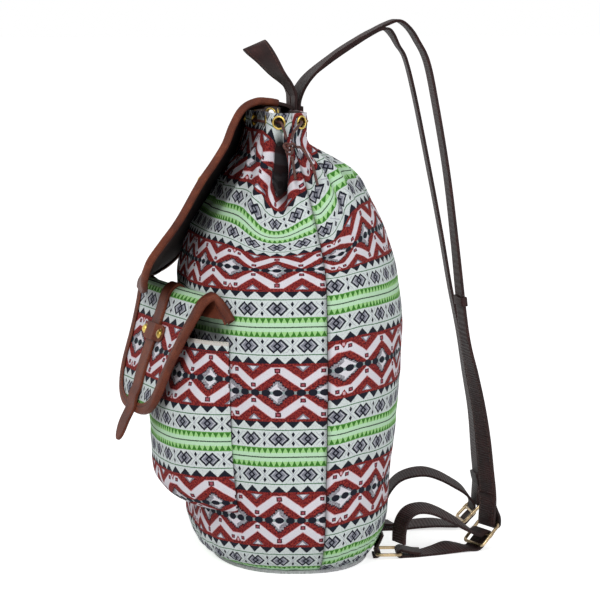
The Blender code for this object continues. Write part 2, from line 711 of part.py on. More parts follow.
def knot_points():
    """Overhand knot: a trefoil of the two cord ends."""
    middle = Vector(KNOT)
    points = []
    for k in range(KNOT_STEPS):
        t = math.tau * k / KNOT_STEPS
        points.append(middle + KNOT_SCALE * Vector((
            -math.sin(3 * t), math.sin(t) + 2 * math.sin(2 * t), math.cos(t) - 2 * math.cos(2 * t),
        )))
    return points


def smooth_run(points, steps):
    return [through(points, k / steps) for k in range(steps + 1)]


def drawcord():
    brown = material("cord", CORD_BROWN)
    tube("drawcord", cord_points(), CORD / 2, brown)
    tube("drawcord_knot", knot_points(), CORD / 2, brown, cyclic=True)
    for name, fall, steps in (("drawcord_tail_long", TAIL_LONG, TAIL_LONG_STEPS),
                              ("drawcord_tail_short", TAIL_SHORT, TAIL_SHORT_STEPS)):
        tube(name, smooth_run([Vector(KNOT) + Vector(p) for p in fall], steps), CORD / 2, brown)


def lid_surface(u, v):
    """Middle of the lid: u across it, v from its root behind the neck to its tip."""
    d = 1e-3
    here = through(LID_STATIONS, v)
    ahead = through(LID_STATIONS, min(v + d, 1)) - through(LID_STATIONS, max(v - d, 0))
    way = Vector((ahead[0], ahead[1])).normalized()
    out = Vector((0, way.y, -way.x))
    roll = math.radians(here[3])
    across = Vector((math.cos(roll), 0, 0)) + out * math.sin(roll)
    share = 2 * u - 1
    return Vector((0, here[0], here[1])) + across * share * here[2] - out * here[4] * share ** 2


def flap_half(s):
    """Half width of the pocket flap at share s of its length from the crease."""
    s = min(max(s, 0.0), 1.0)
    return FLAP_HALF * (1 - s ** FLAP_SQUARENESS) ** (1 / FLAP_SQUARENESS) * (1 - FLAP_TAPER * s)


def flap_surface(u, v):
    """Middle of the pocket flap: u across it, v from its root over the crease to its tip."""
    h, dz = smooth_between(FLAP_PROFILE, v)
    yaw = math.radians(FLAP_YAW)
    across = Vector((math.cos(yaw), math.sin(yaw), 0))
    outward = Vector((math.sin(yaw), -math.cos(yaw), 0))
    crease = FLAP_PROFILE[2][0]
    share = 2 * u - 1
    hanging = (Vector(FLAP_CREASE) + across * share * flap_half((v - crease) / (1 - crease))
               + outward * h + Vector((0, 0, dz)))
    if v >= crease:
        return hanging
    root = on_sack(FLAP_CREASE[0] + share * FLAP_ROOT_HALF, FLAP_ROOT_HEIGHT, FLAP_ROOT_SEAT)
    root.z += FLAP_RISE * v / crease
    blend = smooth_step(0, crease, v)
    return root.lerp(hanging, blend)


def pocket_surface(u, v):
    """Middle of the pocket's cloth: u across it, v from its bottom to its open mouth."""
    share = 2 * u - 1
    z = POCKET_BOTTOM + (POCKET_TOP - POCKET_BOTTOM) * v
    rise = min((z - POCKET_BOTTOM) / POCKET_FLOOR_RADIUS, 1.0)
    floor = math.sqrt(1 - (1 - rise) ** 2)
    mouth = 1 - (1 - POCKET_MOUTH_SHARE) * smooth_step(POCKET_FULL_HEIGHT, POCKET_TOP, z)
    swell = POCKET_SWELL * (1 - share ** 4) * floor * mouth
    return on_sack(POCKET_CENTRE + share * POCKET_HALF, z, GAP + CLOTH / 2 + swell)


def laid_on(surface, lift, v):
    """Point, way across and way out on the middle line of a sheet, lifted off its middle."""
    across = (surface(0.51, v) - surface(0.49, v)).normalized()
    out = -normal_of(surface, 0.5, v)
    return surface(0.5, v) + out * lift, across, out


def edge_binding(name, surface, thickness, v_marks, tip_steps, look):
    """Leather folded over the free edge of a sheet, from one root round the tip to the other."""
    tip = v_marks[-1]
    places = [(1.0, v) for v in v_marks]
    places += [(1 - k / tip_steps, tip) for k in range(1, tip_steps)]
    places += [(0.0, v) for v in reversed(v_marks)]
    seat = thickness / 2 + BINDING_SEAT
    outer = seat + BINDING
    rings = []
    for u, v in places:
        edge, up = surface(u, v), normal_of(surface, u, v)
        du = BINDING_WIDTH / (surface(1, v) - surface(0, v)).length
        tip_length = (surface(0.5, tip) - surface(0.5, tip - BINDING_TIP_SHARE)).length
        dv = BINDING_WIDTH * BINDING_TIP_SHARE / tip_length
        inner_u = min(max(u, du), 1 - du)
        inner_v = v - dv if v == tip else v
        inner, inner_up = surface(inner_u, inner_v), normal_of(surface, inner_u, inner_v)
        out = (edge - inner).normalized()
        rings.append((
            inner + inner_up * seat, inner + inner_up * outer,
            edge + up * outer + out * (BINDING_SEAT + BINDING),
            edge - up * outer + out * (BINDING_SEAT + BINDING),
            inner - inner_up * outer, inner - inner_up * seat,
            edge - up * seat + out * BINDING_SEAT, edge + up * seat + out * BINDING_SEAT,
        ))
    skin(name, rings, look)


def riveted_keeper(name, surface, thickness, strap_width, rows, leather, gold):
    """Leather bar over a strap, held by a domed rivet at each end."""
    low = thickness / 2 + GAP + KEEPER / 2
    ramp = strap_width / 2 + KEEPER_RAMP
    half = ramp + 2 * RIVET_RADIUS + KEEPER_MARGIN
    first, across, out = laid_on(surface, low, rows[0])
    last = laid_on(surface, low, rows[1])[0]

    bend = strap_width / 2 + KEEPER_EASE
    humps = ((-half, 0), (-ramp, 0), (-(ramp + bend) / 2, 0.5), (-bend, 1), (bend, 1),
             ((ramp + bend) / 2, 0.5), (ramp, 0), (half, 0))

    def at(u, w):
        k = min(int(u * (len(humps) - 1)), len(humps) - 2)
        (x0, h0), (x1, h1) = humps[k], humps[k + 1]
        part = u * (len(humps) - 1) - k
        rise = (STRAP + GAP + KEEPER_EASE) * (h0 + (h1 - h0) * part)
        return first.lerp(last, w) + across * (x0 + (x1 - x0) * part) + out * rise

    sheet(name + "_keeper", at, KEEPER, evenly(len(humps) - 1), (0.0, 1.0), leather)
    dome = [(0, RIVET_HEIGHT), (0.6 * RIVET_RADIUS, 0.8 * RIVET_HEIGHT),
            (RIVET_RADIUS, 0.3 * RIVET_HEIGHT), (RIVET_RADIUS, 0), (0, 0)]
    off = (last - first).cross(across).normalized()
    off = off if off.dot(out) > 0 else -off
    for sign, side in ((1, "right"), (-1, "left")):
        x = sign * (half - RIVET_RADIUS - KEEPER_MARGIN / 2)
        spot = first.lerp(last, 0.5) + across * x + off * (KEEPER / 2 + GAP)
        turned(name + "_rivet_" + side, dome, 12, place_on(spot, off, across), gold)


def lid():
    leather = material("rust_leather", RUST_LEATHER, 0.6)
    gold = material("gold", GOLD, 0.3, 1.0)
    sheet("lid", lid_surface, LID_CLOTH, LID_COLUMN_SHARES, LID_ROW_SHARES, material("canvas", CANVAS))
    bound = [v for v in LID_ROW_SHARES if v >= LID_BINDING_SHARE]
    edge_binding("lid_binding", lid_surface, LID_CLOTH, bound, LID_TIP_STEPS, leather)
    lift = LID_CLOTH / 2 + GAP + LID_STRAP_LIFT + STRAP / 2
    rows = [v for v in LID_ROW_SHARES if LID_STRAP_SHARES[0] < v < LID_STRAP_SHARES[1]]
    stations = [laid_on(lid_surface, lift, v)[:2] for v in rows]
    ribbon("lid_strap", stations, LID_STRAP_WIDTH, STRAP, len(stations) - 1, leather)
    riveted_keeper("lid", lid_surface, LID_CLOTH, LID_STRAP_WIDTH, LID_KEEPER_SHARES, leather,
                   gold)


def pocket():
    leather = material("rust_leather", RUST_LEATHER, 0.6)
    gold = material("gold", GOLD, 0.3, 1.0)
    canvas = material("canvas", CANVAS)
    sheet("pocket", pocket_surface, CLOTH, evenly(POCKET_COLUMNS), POCKET_ROW_SHARES, canvas)
    sheet("pocket_flap", flap_surface, FLAP_CLOTH, FLAP_COLUMN_SHARES, FLAP_ROW_SHARES, canvas)
    edge_binding("pocket_flap_binding", flap_surface, FLAP_CLOTH, FLAP_ROW_SHARES, FLAP_TIP_STEPS,
                 leather)
    lift = FLAP_CLOTH / 2 + GAP + STRAP / 2
    stations = []
    for v in FLAP_ROW_SHARES:
        if FLAP_STRAP_SHARES[0] < v < FLAP_STRAP_SHARES[1]:
            climb = BINDING_SEAT + BINDING if v > FLAP_STRAP_CLIMB_SHARE else 0.0
            stations.append(laid_on(flap_surface, lift + climb, v)[:2])
    end = stations[-1][0]
    stations += [(end + Vector(p), stations[-1][1]) for p in FLAP_STRAP_TAIL]
    ribbon("pocket_strap", stations, FLAP_STRAP_WIDTH, STRAP, len(stations) - 1, leather)
    riveted_keeper("pocket", flap_surface, FLAP_CLOTH, FLAP_STRAP_WIDTH, FLAP_KEEPER_SHARES,
                   leather, gold)


def turned_way(degrees, tilt=0.0):
    """Horizontal direction turned from +X, its +X end dropped by the tilt."""
    a, b = math.radians(degrees), math.radians(tilt)
    return Vector((math.cos(a) * math.cos(b), math.sin(a) * math.cos(b), -math.sin(b)))


def slide_place(centre, yaw, s, n):
    """Point of a slide's side view: s up along its length, n off its face."""
    a, tilt = math.radians(yaw), math.radians(SLIDE_TILT)
    level = Vector((-math.sin(a), math.cos(a), 0))
    up = Vector((0, 0, 1))
    return (Vector(centre) + s * (level * math.cos(tilt) + up * math.sin(tilt))
            + n * (up * math.cos(tilt) - level * math.sin(tilt)))


def rounded_loop(half_x, half_y, radius):
    """Corner points of a rounded rectangle, with the way out at each."""
    loop = []
    for sx, sy, first in ((1, 1, 0), (-1, 1, 90), (-1, -1, 180), (1, -1, 270)):
        for step in range(LOOP_CORNER_STEPS + 1):
            a = math.radians(first + 90 * step / LOOP_CORNER_STEPS)
            x = sx * (half_x - radius) + radius * math.cos(a)
            y = sy * (half_y - radius) + radius * math.sin(a)
            loop.append((x, y, math.cos(a), math.sin(a)))
    return loop


def round_profile(radius, sides):
    return [(radius * math.cos(math.tau * k / sides), radius * math.sin(math.tau * k / sides))
            for k in range(sides)]


def wire_frame(name, centre, across, along, half_x, half_y, look):
    """Closed wire rectangle in the plane of the two directions."""
    frames = []
    for x, y, ox, oy in rounded_loop(half_x, half_y, LOOP_RADIUS):
        frames.append((Vector(centre) + across * x + along * y, across * ox + along * oy,
                       across.cross(along)))
    return frames, sweep(name, frames, round_profile(BAR, BAR_SIDES), look, closed=True)


def slide(name, centre, yaw):
    """Strap slide: a wire frame with a fixed centre bar."""
    gold = material("gold", GOLD, 0.3, 1.0)
    across = turned_way(yaw)
    along = (slide_place(centre, yaw, 1, 0) - Vector(centre)).normalized()
    half_x = SLIDE_INNER / 2 + BAR
    frame = wire_frame(name, centre, across, along, half_x, SLIDE_LENGTH / 2, gold)[1]
    off = along.cross(across)
    ends = [(Vector(centre) + across * x, along, off) for x in (-half_x, half_x)]
    bar = sweep(name + "_bar", ends, round_profile(CENTRE_BAR, BAR_SIDES - 1), gold)
    bar.hide_render = True
    bar.display_type = "WIRE"
    joined = frame.modifiers.new("centre_bar", "BOOLEAN")
    joined.operation = "UNION"
    joined.solver = "EXACT"
    joined.object = bar


def shoulder_strap(name, centre, yaw, route, look):
    """Strap from the anchor behind the neck to the slide's upper bar, sewn back on itself."""
    stations = [(Vector(point), turned_way(turn)) for *point, turn in route]
    bar = slide_place(centre, yaw, SLIDE_LENGTH / 2, 0)
    wide = turned_way(yaw)
    level = Vector((-wide.y, wide.x, 0))
    wrap = BAR + BEND_CLEAR + STRAP / 2
    for degrees in (180, 225, 270, 315, 360):
        a = math.radians(degrees)
        spot = bar + level * wrap * math.cos(a) + Vector((0, 0, wrap * math.sin(a)))
        stations.append((spot, wide))
    for out, up in STRAP_RETURN:
        stations.append((bar + level * out + Vector((0, 0, up)), wide))
    ribbon(name, stations, STRAP_WIDTH, STRAP, STRAP_STEPS * (len(stations) - 1), look)
    return stations


def lower_strap(name, ring, centre, yaw, run, arch, wrap_angles, look):
    """Strap sewn round the ring, flat on the floor, round the slide's bar, then a free tail."""
    wrap = BAR + BEND_CLEAR + WEBBING / 2
    across, along = ring_ways(ring)
    up = Vector((0, 0, 1))
    bar = Vector(ring) + along * RING_LENGTH / 2
    stations = [(bar + along * out + up * rise, across) for out, rise in RING_RETURN]
    for degrees in (90, 135, 180, 225, 270):
        a = math.radians(degrees)
        stations.append((bar + along * wrap * math.cos(a) + up * wrap * math.sin(a), across))
    stations += [(Vector(point), turned_way(turn, tilt)) for *point, turn, tilt in run]
    wide = turned_way(yaw)
    for s in (-SLIDE_LENGTH / 2, -SLIDE_LENGTH / 4, 0):
        stations.append((slide_place(centre, yaw, s, -wrap), wide))
    for degrees in wrap_angles:
        a = math.radians(degrees)
        stations.append((slide_place(centre, yaw, wrap * math.cos(a), wrap * math.sin(a)), wide))
    stations += [(Vector(point), turned_way(turn, tilt)) for *point, turn, tilt in arch]
    ribbon(name, stations, WEBBING_WIDTH, WEBBING, STRAP_STEPS * (len(stations) - 1), look)


def back_wall(x, z, off):
    """Point off the back of the sack by the given distance."""
    half = smooth_between(SACK_LEVELS, z)[0]
    degrees = math.degrees(math.acos(power(x / half, BACK_ROUNDNESS / 2)))
    return sack(degrees, z) + sack_normal(degrees, z) * off


def ring_ways(ring):
    """Directions across and along a ring, square to the sack's wall behind it."""
    across = turned_way(math.copysign(RING_YAW, -ring[0]))
    return across, Vector((-across.y, across.x, 0))


def ring_and_tab(side, ring, look):
    """Wire ring on the floor and the webbing tab that ties it to the sack."""
    across, along = ring_ways(ring)
    wire_frame(f"ring_{side}", ring, across, along, RING_INNER / 2 + BAR, RING_LENGTH / 2,
               material("gold", GOLD, 0.3, 1.0))
    wrap = BAR + BEND_CLEAR + WEBBING / 2
    bar = Vector(ring) - along * RING_LENGTH / 2
    stations = [(back_wall(bar.x, z, TAB_SEAT + WEBBING / 2), across) for z in TAB_HEIGHTS]
    for degrees in (90, 45, 0, -45, -90):
        a = math.radians(degrees)
        spot = bar + along * wrap * math.cos(a) + Vector((0, 0, wrap * math.sin(a)))
        stations.append((spot, across))
    stations.append((bar - along * TAB_FOOT - Vector((0, 0, wrap)), across))
    ribbon(f"ring_tab_{side}", stations, TAB_WIDTH, WEBBING, TAB_STEPS * (len(stations) - 1), look)


def strap_loop(name, stations, share, look):
    """Band round a strap at a share of its length."""
    surface = ribbon_surface(stations, STRAP_WIDTH)
    centre = surface(0.5, share)
    wide = (surface(1, share) - surface(0, share)).normalized()
    out = normal_of(surface, 0.5, share)
    down = wide.cross(out)
    a, b = STRAP_WIDTH / 2 + BEND_CLEAR, STRAP / 2 + BEND_CLEAR
    frames = []
    for x, y in ((1, 1), (-1, 1), (-1, -1), (1, -1)):
        frames.append((centre + wide * a * x + out * b * y, wide * x + out * y, down))
    h = LOOP_BAND_HEIGHT / 2
    sweep(name, frames, [(0, -h), (LOOP_BAND, -h), (LOOP_BAND, h), (0, h)], look, closed=True)


def handle(look):
    """Grab handle: a strap whose legs stand at the neck and whose crown is turned edge up."""
    stations = []
    for x, y, z, turn in HANDLE_HALF:
        stations.append((Vector((x, y, z)), handle_way(turn)))
    mirrored = []
    for point, way in reversed(stations[:-1]):
        mirrored.append((Vector((-point.x, point.y, point.z)), Vector((-way.x, way.y, way.z))))
    ribbon("grab_handle", stations + mirrored, HANDLE_WIDTH, STRAP,
           STRAP_STEPS * (2 * len(HANDLE_HALF) - 2), look)


def handle_way(turn):
    a = math.radians(turn)
    back, up = HANDLE_EDGE_WAY
    return Vector((math.cos(a), back * math.sin(a), up * math.sin(a)))


def anchor_patch(look):
    """Leather plate that covers the sewn ends of handle and straps."""
    bm = bmesh.new()
    bmesh.ops.create_cube(bm, size=1.0)
    bmesh.ops.scale(bm, verts=bm.verts, vec=PATCH_SIZE)
    bmesh.ops.translate(bm, verts=bm.verts, vec=(0, STACK[3], STACK_BOTTOM + PATCH_SIZE[2] / 2))
    mesh_object("strap_anchor_patch", bm, look)


def build():
    clear_scene()
    cutter = eyelet_cutter()
    sack_panel("front_panel", 180 - SEAM_ANGLE, 360 + SEAM_ANGLE, material("canvas", CANVAS), cutter)
    sack_panel("back_panel", SEAM_ANGLE, 180 - SEAM_ANGLE, material("canvas_back", CANVAS_BACK),
               cutter)
    base_panel()
    eyelets()
    drawcord()
    lid()
    pocket()
    leather = material("dark_leather", DARK_LEATHER, 0.6)
    handle(leather)
    anchor_patch(leather)
    right = shoulder_strap("shoulder_strap_right", SLIDE_RIGHT, SLIDE_YAW_RIGHT, STRAP_RIGHT, leather)
    shoulder_strap("shoulder_strap_left", SLIDE_LEFT, SLIDE_YAW_LEFT, STRAP_LEFT, leather)
    strap_loop("strap_keeper_right", right, STRAP_LOOP_SHARE, leather)
    slide("slide_right", SLIDE_RIGHT, SLIDE_YAW_RIGHT)
    slide("slide_left", SLIDE_LEFT, SLIDE_YAW_LEFT)
    ring_and_tab("right", RING_RIGHT, leather)
    ring_and_tab("left", RING_LEFT, leather)
    lower_strap("lower_strap_right", RING_RIGHT, SLIDE_RIGHT, SLIDE_YAW_RIGHT, RUN_RIGHT,
                ARCH_RIGHT, (315, 0, 45, 90), leather)
    lower_strap("lower_strap_left", RING_LEFT, SLIDE_LEFT, SLIDE_YAW_LEFT, RUN_LEFT,
                ARCH_LEFT, (315, 0), leather)


build()
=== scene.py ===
# %% [markdown]
# # A printed drawstring backpack
#
# The real bag is a sack of printed cotton, drawn shut at the neck by a cord and covered by a
# flap lid. A pocket with its own flap sits on the front, and two leather straps run down the
# back to wire slides on the floor.
#
# The CAD part gives every size and place. This lesson dresses it: each solid that shows is
# replaced by a finer mesh in the same space, with the finish of the real material.

import math

import bmesh
import bpy
from mathutils import Matrix, Vector, noise


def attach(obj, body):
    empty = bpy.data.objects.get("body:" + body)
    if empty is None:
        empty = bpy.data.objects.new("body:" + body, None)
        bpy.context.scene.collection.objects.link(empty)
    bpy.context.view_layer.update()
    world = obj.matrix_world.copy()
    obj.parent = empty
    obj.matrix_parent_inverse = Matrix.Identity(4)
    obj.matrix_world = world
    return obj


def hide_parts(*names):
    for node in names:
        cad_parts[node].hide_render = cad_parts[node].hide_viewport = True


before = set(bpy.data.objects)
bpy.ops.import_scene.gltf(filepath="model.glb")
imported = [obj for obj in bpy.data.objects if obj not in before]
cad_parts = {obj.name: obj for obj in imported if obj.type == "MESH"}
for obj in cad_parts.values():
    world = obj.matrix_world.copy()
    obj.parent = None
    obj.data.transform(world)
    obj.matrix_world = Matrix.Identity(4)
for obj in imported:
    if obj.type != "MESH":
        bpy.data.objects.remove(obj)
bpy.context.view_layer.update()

# %% [markdown]
# ## The camera
#
# The photograph looks at the side of the bag from a little above, with a long lens that
# keeps upright lines upright. A camera needs only a place, an aim and a lens, so it is
# placed on a sphere round the point that lies in the middle of the picture.

# %% Camera
AIM = Vector((0.0, 0.008, 0.225))
CAMERA_AZIMUTH = 80.0
CAMERA_ELEVATION = 7.0
CAMERA_DISTANCE = 2.2
LENS_MM = 146.7
SENSOR_MM = 36.0


def add_camera():
    a, e = math.radians(CAMERA_AZIMUTH), math.radians(CAMERA_ELEVATION)
    back = Vector((math.sin(a) * math.cos(e), -math.cos(a) * math.cos(e), math.sin(e)))
    lens = bpy.data.cameras.new("camera")
    lens.lens = LENS_MM
    lens.sensor_width = SENSOR_MM
    lens.clip_start = 0.1
    lens.clip_end = 60.0
    camera = bpy.data.objects.new("camera", lens)
    camera.rotation_mode = "QUATERNION"
    camera.location = AIM + back * CAMERA_DISTANCE
    camera.rotation_quaternion = (-back).to_track_quat("-Z", "Y")
    bpy.context.scene.collection.objects.link(camera)
    bpy.context.scene.camera = camera
    return camera


camera = add_camera()
print("camera at", [round(x, 3) for x in camera.location])

# %% [markdown]
# ## Shader sums written as Python
#
# A printed pattern is mostly sums: fold a coordinate, compare it, mix a colour. Node trees
# made by hand hide those sums. A small class wraps a socket, so that an expression in Python
# adds the Math nodes for it, and one method adds every other kind of node.

# %% Sockets that take part in sums
def srgb(red, green, blue):
    """Linear colour of a picture's 0 to 255 values."""
    def linear(c):
        c /= 255
        return c / 12.92 if c <= 0.04045 else ((c + 0.055) / 1.055) ** 2.4
    return (linear(red), linear(green), linear(blue), 1.0)


def operator_of(operation):
    """A method that puts one Math node behind its values."""
    return lambda self, *others: self.math(operation, *others)


class Value:
    """A socket of a material that Python's operators work on."""

    def __init__(self, look, socket):
        self.look = look
        self.socket = socket

    def math(self, operation, *others):
        return self.look.node("ShaderNodeMath", dict(enumerate((self, *others))),
                              operation=operation)

    __add__ = __radd__ = operator_of("ADD")
    __sub__ = operator_of("SUBTRACT")
    __mul__ = __rmul__ = operator_of("MULTIPLY")
    __truediv__ = operator_of("DIVIDE")
    __and__ = operator_of("MINIMUM")
    __or__ = operator_of("MAXIMUM")
    __lt__ = operator_of("LESS_THAN")
    __gt__ = operator_of("GREATER_THAN")
    __abs__ = operator_of("ABSOLUTE")

    def folded(self, period):
        """Distance to the nearest whole multiple of the period."""
        return self.math("PINGPONG", period / 2)


class Look:
    """A material, with one method that adds any node to it."""

    def __init__(self, name, roughness=0.8, metallic=0.0):
        self.material = bpy.data.materials.new(name)
        self.material.use_nodes = True
        self.tree = self.material.node_tree
        self.shader = self.tree.nodes["Principled BSDF"]
        self.shader.inputs["Roughness"].default_value = roughness
        self.shader.inputs["Metallic"].default_value = metallic

    def feed(self, socket, value):
        """Links a Value to a socket, or writes a plain value into it."""
        if isinstance(value, Value):
            self.tree.links.new(value.socket, socket)
        else:
            socket.default_value = value

    def node(self, kind, sockets=None, output=0, stops=None, **settings):
        made = self.tree.nodes.new(kind)
        for name, value in settings.items():
            setattr(made, name, value)
        if stops:
            self.set_stops(made.color_ramp, stops)
        for key, value in (sockets or {}).items():
            self.feed(made.inputs[key], value)
        return Value(self, made.outputs[output])

    def set_stops(self, ramp, stops):
        while len(ramp.elements) > 1:
            ramp.elements.remove(ramp.elements[-1])
        for k, (position, colour) in enumerate(stops):
            stop = ramp.elements[0] if k == 0 else ramp.elements.new(position)
            stop.position = position
            stop.color = colour

    def place(self):
        """Point of the piece in metres, in the row frame."""
        return self.node("ShaderNodeTexCoord", output=3)

    def uv(self, name):
        """The two cloth coordinates of a UV map, in metres."""
        vector = self.node("ShaderNodeUVMap", uv_map=name)
        parts = self.node("ShaderNodeSeparateXYZ", {0: vector}).socket.node
        return Value(self, parts.outputs[0]), Value(self, parts.outputs[1])

    def vector(self, x, y):
        return self.node("ShaderNodeCombineXYZ", {0: x, 1: y})

    def scaled(self, vector, scale):
        return self.node("ShaderNodeVectorMath", {0: vector, 1: scale}, operation="MULTIPLY")

    def noise(self, vector, scale, detail, roughness=0.55):
        return self.node("ShaderNodeTexNoise", {"Vector": vector, "Scale": scale,
                                                "Detail": detail, "Roughness": roughness})

    def ramp(self, value, *stops):
        return self.node("ShaderNodeValToRGB", {0: value}, stops=stops)

    def paint(self, under, over, mask, blend="MIX"):
        """Colour over laid on colour under where the mask is 1."""
        return self.node("ShaderNodeMix", {0: mask, 6: under, 7: over}, 2,
                         data_type="RGBA", blend_type=blend)

    def layers(self, colour, *painted):
        """Lays (colour, mask) pairs over a colour, one after another."""
        for over, mask in painted:
            colour = self.paint(colour, over, mask)
        return colour

    def set(self, name, value):
        self.feed(self.shader.inputs[name], value)

    def bump(self, height, distance):
        self.set("Normal", self.node("ShaderNodeBump", {"Height": height, "Distance": distance,
                                                        "Strength": 1.0}))


# %% [markdown]
# ## Light and floor
#
# A shop photograph has a white sweep and large soft lamps. Two area lamps and a pale world
# light the bag evenly, so that colours render about as they are written. The floor is white
# to the camera, and still darkens where the bag keeps the light away.

# %% World, lamps and floor
WORLD_STRENGTH = 0.50
FLOOR_GLOW = 0.66
FLOOR_HALF = 15.0
FLOOR_WHITE = 0.84
LAMP_AIM = Vector((0, 0, 0.2))
LAMPS = (("key", (2.6, -1.6, 2.4), 1.6, 58), ("fill", (2.0, 2.4, 1.6), 1.8, 24))


def add_world():
    world = bpy.data.worlds.new("studio")
    bpy.context.scene.world = world
    world.use_nodes = True
    tree = world.node_tree
    light = tree.nodes["Background"]
    light.inputs["Color"].default_value = (1, 1, 1, 1)
    light.inputs["Strength"].default_value = WORLD_STRENGTH
    white = tree.nodes.new("ShaderNodeBackground")
    white.inputs["Color"].default_value = (1, 1, 1, 1)
    rays = tree.nodes.new("ShaderNodeLightPath")
    seen = rays.outputs["Is Camera Ray"]
    for ray in ("Is Glossy Ray", "Is Transmission Ray"):
        either = tree.nodes.new("ShaderNodeMath")
        either.operation = "MAXIMUM"
        tree.links.new(seen, either.inputs[0])
        tree.links.new(rays.outputs[ray], either.inputs[1])
        seen = either.outputs[0]
    mix = tree.nodes.new("ShaderNodeMixShader")
    for socket, value in zip(mix.inputs, (seen, light.outputs[0], white.outputs[0])):
        tree.links.new(value, socket)
    tree.links.new(mix.outputs[0], tree.nodes["World Output"].inputs["Surface"])


def add_lamp(name, place, size, watts):
    lamp = bpy.data.lights.new(name, "AREA")
    lamp.size = size
    lamp.energy = watts
    thing = bpy.data.objects.new(name, lamp)
    thing.rotation_mode = "QUATERNION"
    thing.location = place
    thing.rotation_quaternion = (LAMP_AIM - Vector(place)).to_track_quat("-Z", "Y")
    bpy.context.scene.collection.objects.link(thing)


def add_floor():
    bm = bmesh.new()
    bmesh.ops.create_grid(bm, x_segments=1, y_segments=1, size=2 * FLOOR_HALF)
    data = bpy.data.meshes.new("floor")
    bm.to_mesh(data)
    bm.free()
    floor = bpy.data.objects.new("floor", data)
    bpy.context.scene.collection.objects.link(floor)
    look = Look("floor_white", roughness=1.0)
    look.set("Base Color", (FLOOR_WHITE, FLOOR_WHITE, FLOOR_WHITE, 1))
    look.set("Specular IOR Level", 0.0)
    rays = look.tree.nodes.new("ShaderNodeLightPath")
    seen = Value(look, rays.outputs["Is Camera Ray"]) | Value(look, rays.outputs["Is Glossy Ray"])
    look.set("Emission Color", look.paint((0, 0, 0, 1), (1, 1, 1, 1), seen))
    look.set("Emission Strength", FLOOR_GLOW)
    data.materials.append(look.material)


bpy.context.scene.view_settings.view_transform = "Standard"
add_world()
for lamp in LAMPS:
    add_lamp(*lamp)
add_floor()
print("stage ready")

# %% [markdown]
# ## How the cloth of the sack lies
#
# The sack is a loft: at each height it has a width and a depth, and the neck adds pleats,
# folds and a dent where the straps are sewn on. The sizes are the part's own, because the
# finer cloth has to lie where the solid lies. Extra wrinkles come on top of them.

# %% Curves that every piece uses
def smooth_between(rows, x):
    """Values between the rows of a table, through a cubic that never overshoots."""
    keys = [row[0] for row in rows]
    x = min(max(x, keys[0]), keys[-1])
    i = max(k for k in range(len(rows) - 1) if keys[k] <= x)

    def secant(k, c):
        return (rows[k + 1][c] - rows[k][c]) / (keys[k + 1] - keys[k])

    def tangent(k, c):
        if k == 0:
            return secant(0, c)
        if k == len(rows) - 1:
            return secant(k - 1, c)
        before, after = secant(k - 1, c), secant(k, c)
        return 0.0 if before * after <= 0 else 2 * before * after / (before + after)

    step = keys[i + 1] - keys[i]
    s = (x - keys[i]) / step
    values = []
    for c in range(1, len(rows[0])):
        values.append((1 + 2 * s) * (1 - s) ** 2 * rows[i][c]
                      + s * (1 - s) ** 2 * step * tangent(i, c)
                      + s * s * (3 - 2 * s) * rows[i + 1][c]
                      + s * s * (s - 1) * step * tangent(i + 1, c))
    return values


def smooth_step(a, b, x):
    s = min(max((x - a) / (b - a), 0.0), 1.0)
    return s * s * (3 - 2 * s)


def bump_between(a, peak, b, x):
    return smooth_step(a, peak, x) * (1 - smooth_step(peak, b, x))


def through(points, s):
    """Point at share s of a smooth curve through the points."""
    spans = len(points) - 1
    s = min(max(s, 0.0), 1.0) * spans
    i = min(int(s), spans - 1)
    t = s - i
    p1, p2 = Vector(points[i]), Vector(points[i + 1])
    p0 = Vector(points[i - 1]) if i > 0 else 2 * p1 - p2
    p3 = Vector(points[i + 2]) if i < spans - 1 else 2 * p2 - p1
    return 0.5 * (2 * p1 + (p2 - p0) * t + (2 * p0 - 5 * p1 + 4 * p2 - p3) * t * t
                  + (3 * p1 - p0 - 3 * p2 + p3) * t ** 3)


def power(value, exponent):
    return math.copysign(abs(value) ** exponent, value)


def angle_from(degrees, centre):
    return (degrees - centre + 180) % 360 - 180


def normal_of(surface, u, v):
    """Unit normal of a surface function, by differences kept inside its square."""
    d = 1e-3
    u0, u1, v0, v1 = max(u - d, 0), min(u + d, 1), max(v - d, 0), min(v + d, 1)
    return (surface(u1, v) - surface(u0, v)).cross(surface(u, v1) - surface(u, v0)).normalized()


# %% The sack's shape
GAP = 0.0003
CLOTH = 0.0022
EYELET_HEIGHT = 0.3885
NECK_HEIGHT = 0.3760
RIM_HEIGHT = 0.4010
SACK_LEVELS = (
    (0.0033, 0.112, 0.074, 0.066), (0.010, 0.121, 0.085, 0.072), (0.026, 0.130, 0.091, 0.079),
    (0.060, 0.136, 0.094, 0.087), (0.130, 0.140, 0.098, 0.094), (0.200, 0.140, 0.100, 0.097),
    (0.246, 0.138, 0.100, 0.092), (0.286, 0.130, 0.091, 0.082), (0.321, 0.117, 0.070, 0.067),
    (0.346, 0.104, 0.052, 0.051), (NECK_HEIGHT, 0.086, 0.037, 0.008),
    (RIM_HEIGHT, 0.086, 0.037, 0.008),
)
FRONT_ROUNDNESS = 2.45
BACK_ROUNDNESS = 2.05
SEAM_ANGLE = 4.0
NECK_LEAN = 0.0145
LEAN_FROM = 0.246
PLEAT_DEPTH = 0.0030
PLEAT_FROM = 0.321
FOLD_DEPTH = 0.0024
FOLD_COUNT = 18
FOLD_PEAK = 0.346
FOLD_FROM = 0.300
GUSSET_ANGLE = 14.0
GUSSET_SPREAD = 7.0
GUSSET_DEPTH = 0.013
DENT_DEPTH = 0.0130
DENT_HALF_WIDTH = 0.033
DENT_FROM = 0.331
EYELET_FRONT = (20.0, 50.0, 77.0)
EYELET_BACK = (24.0, 44.0, 62.0)
EYELET_FLAT = 0.0069


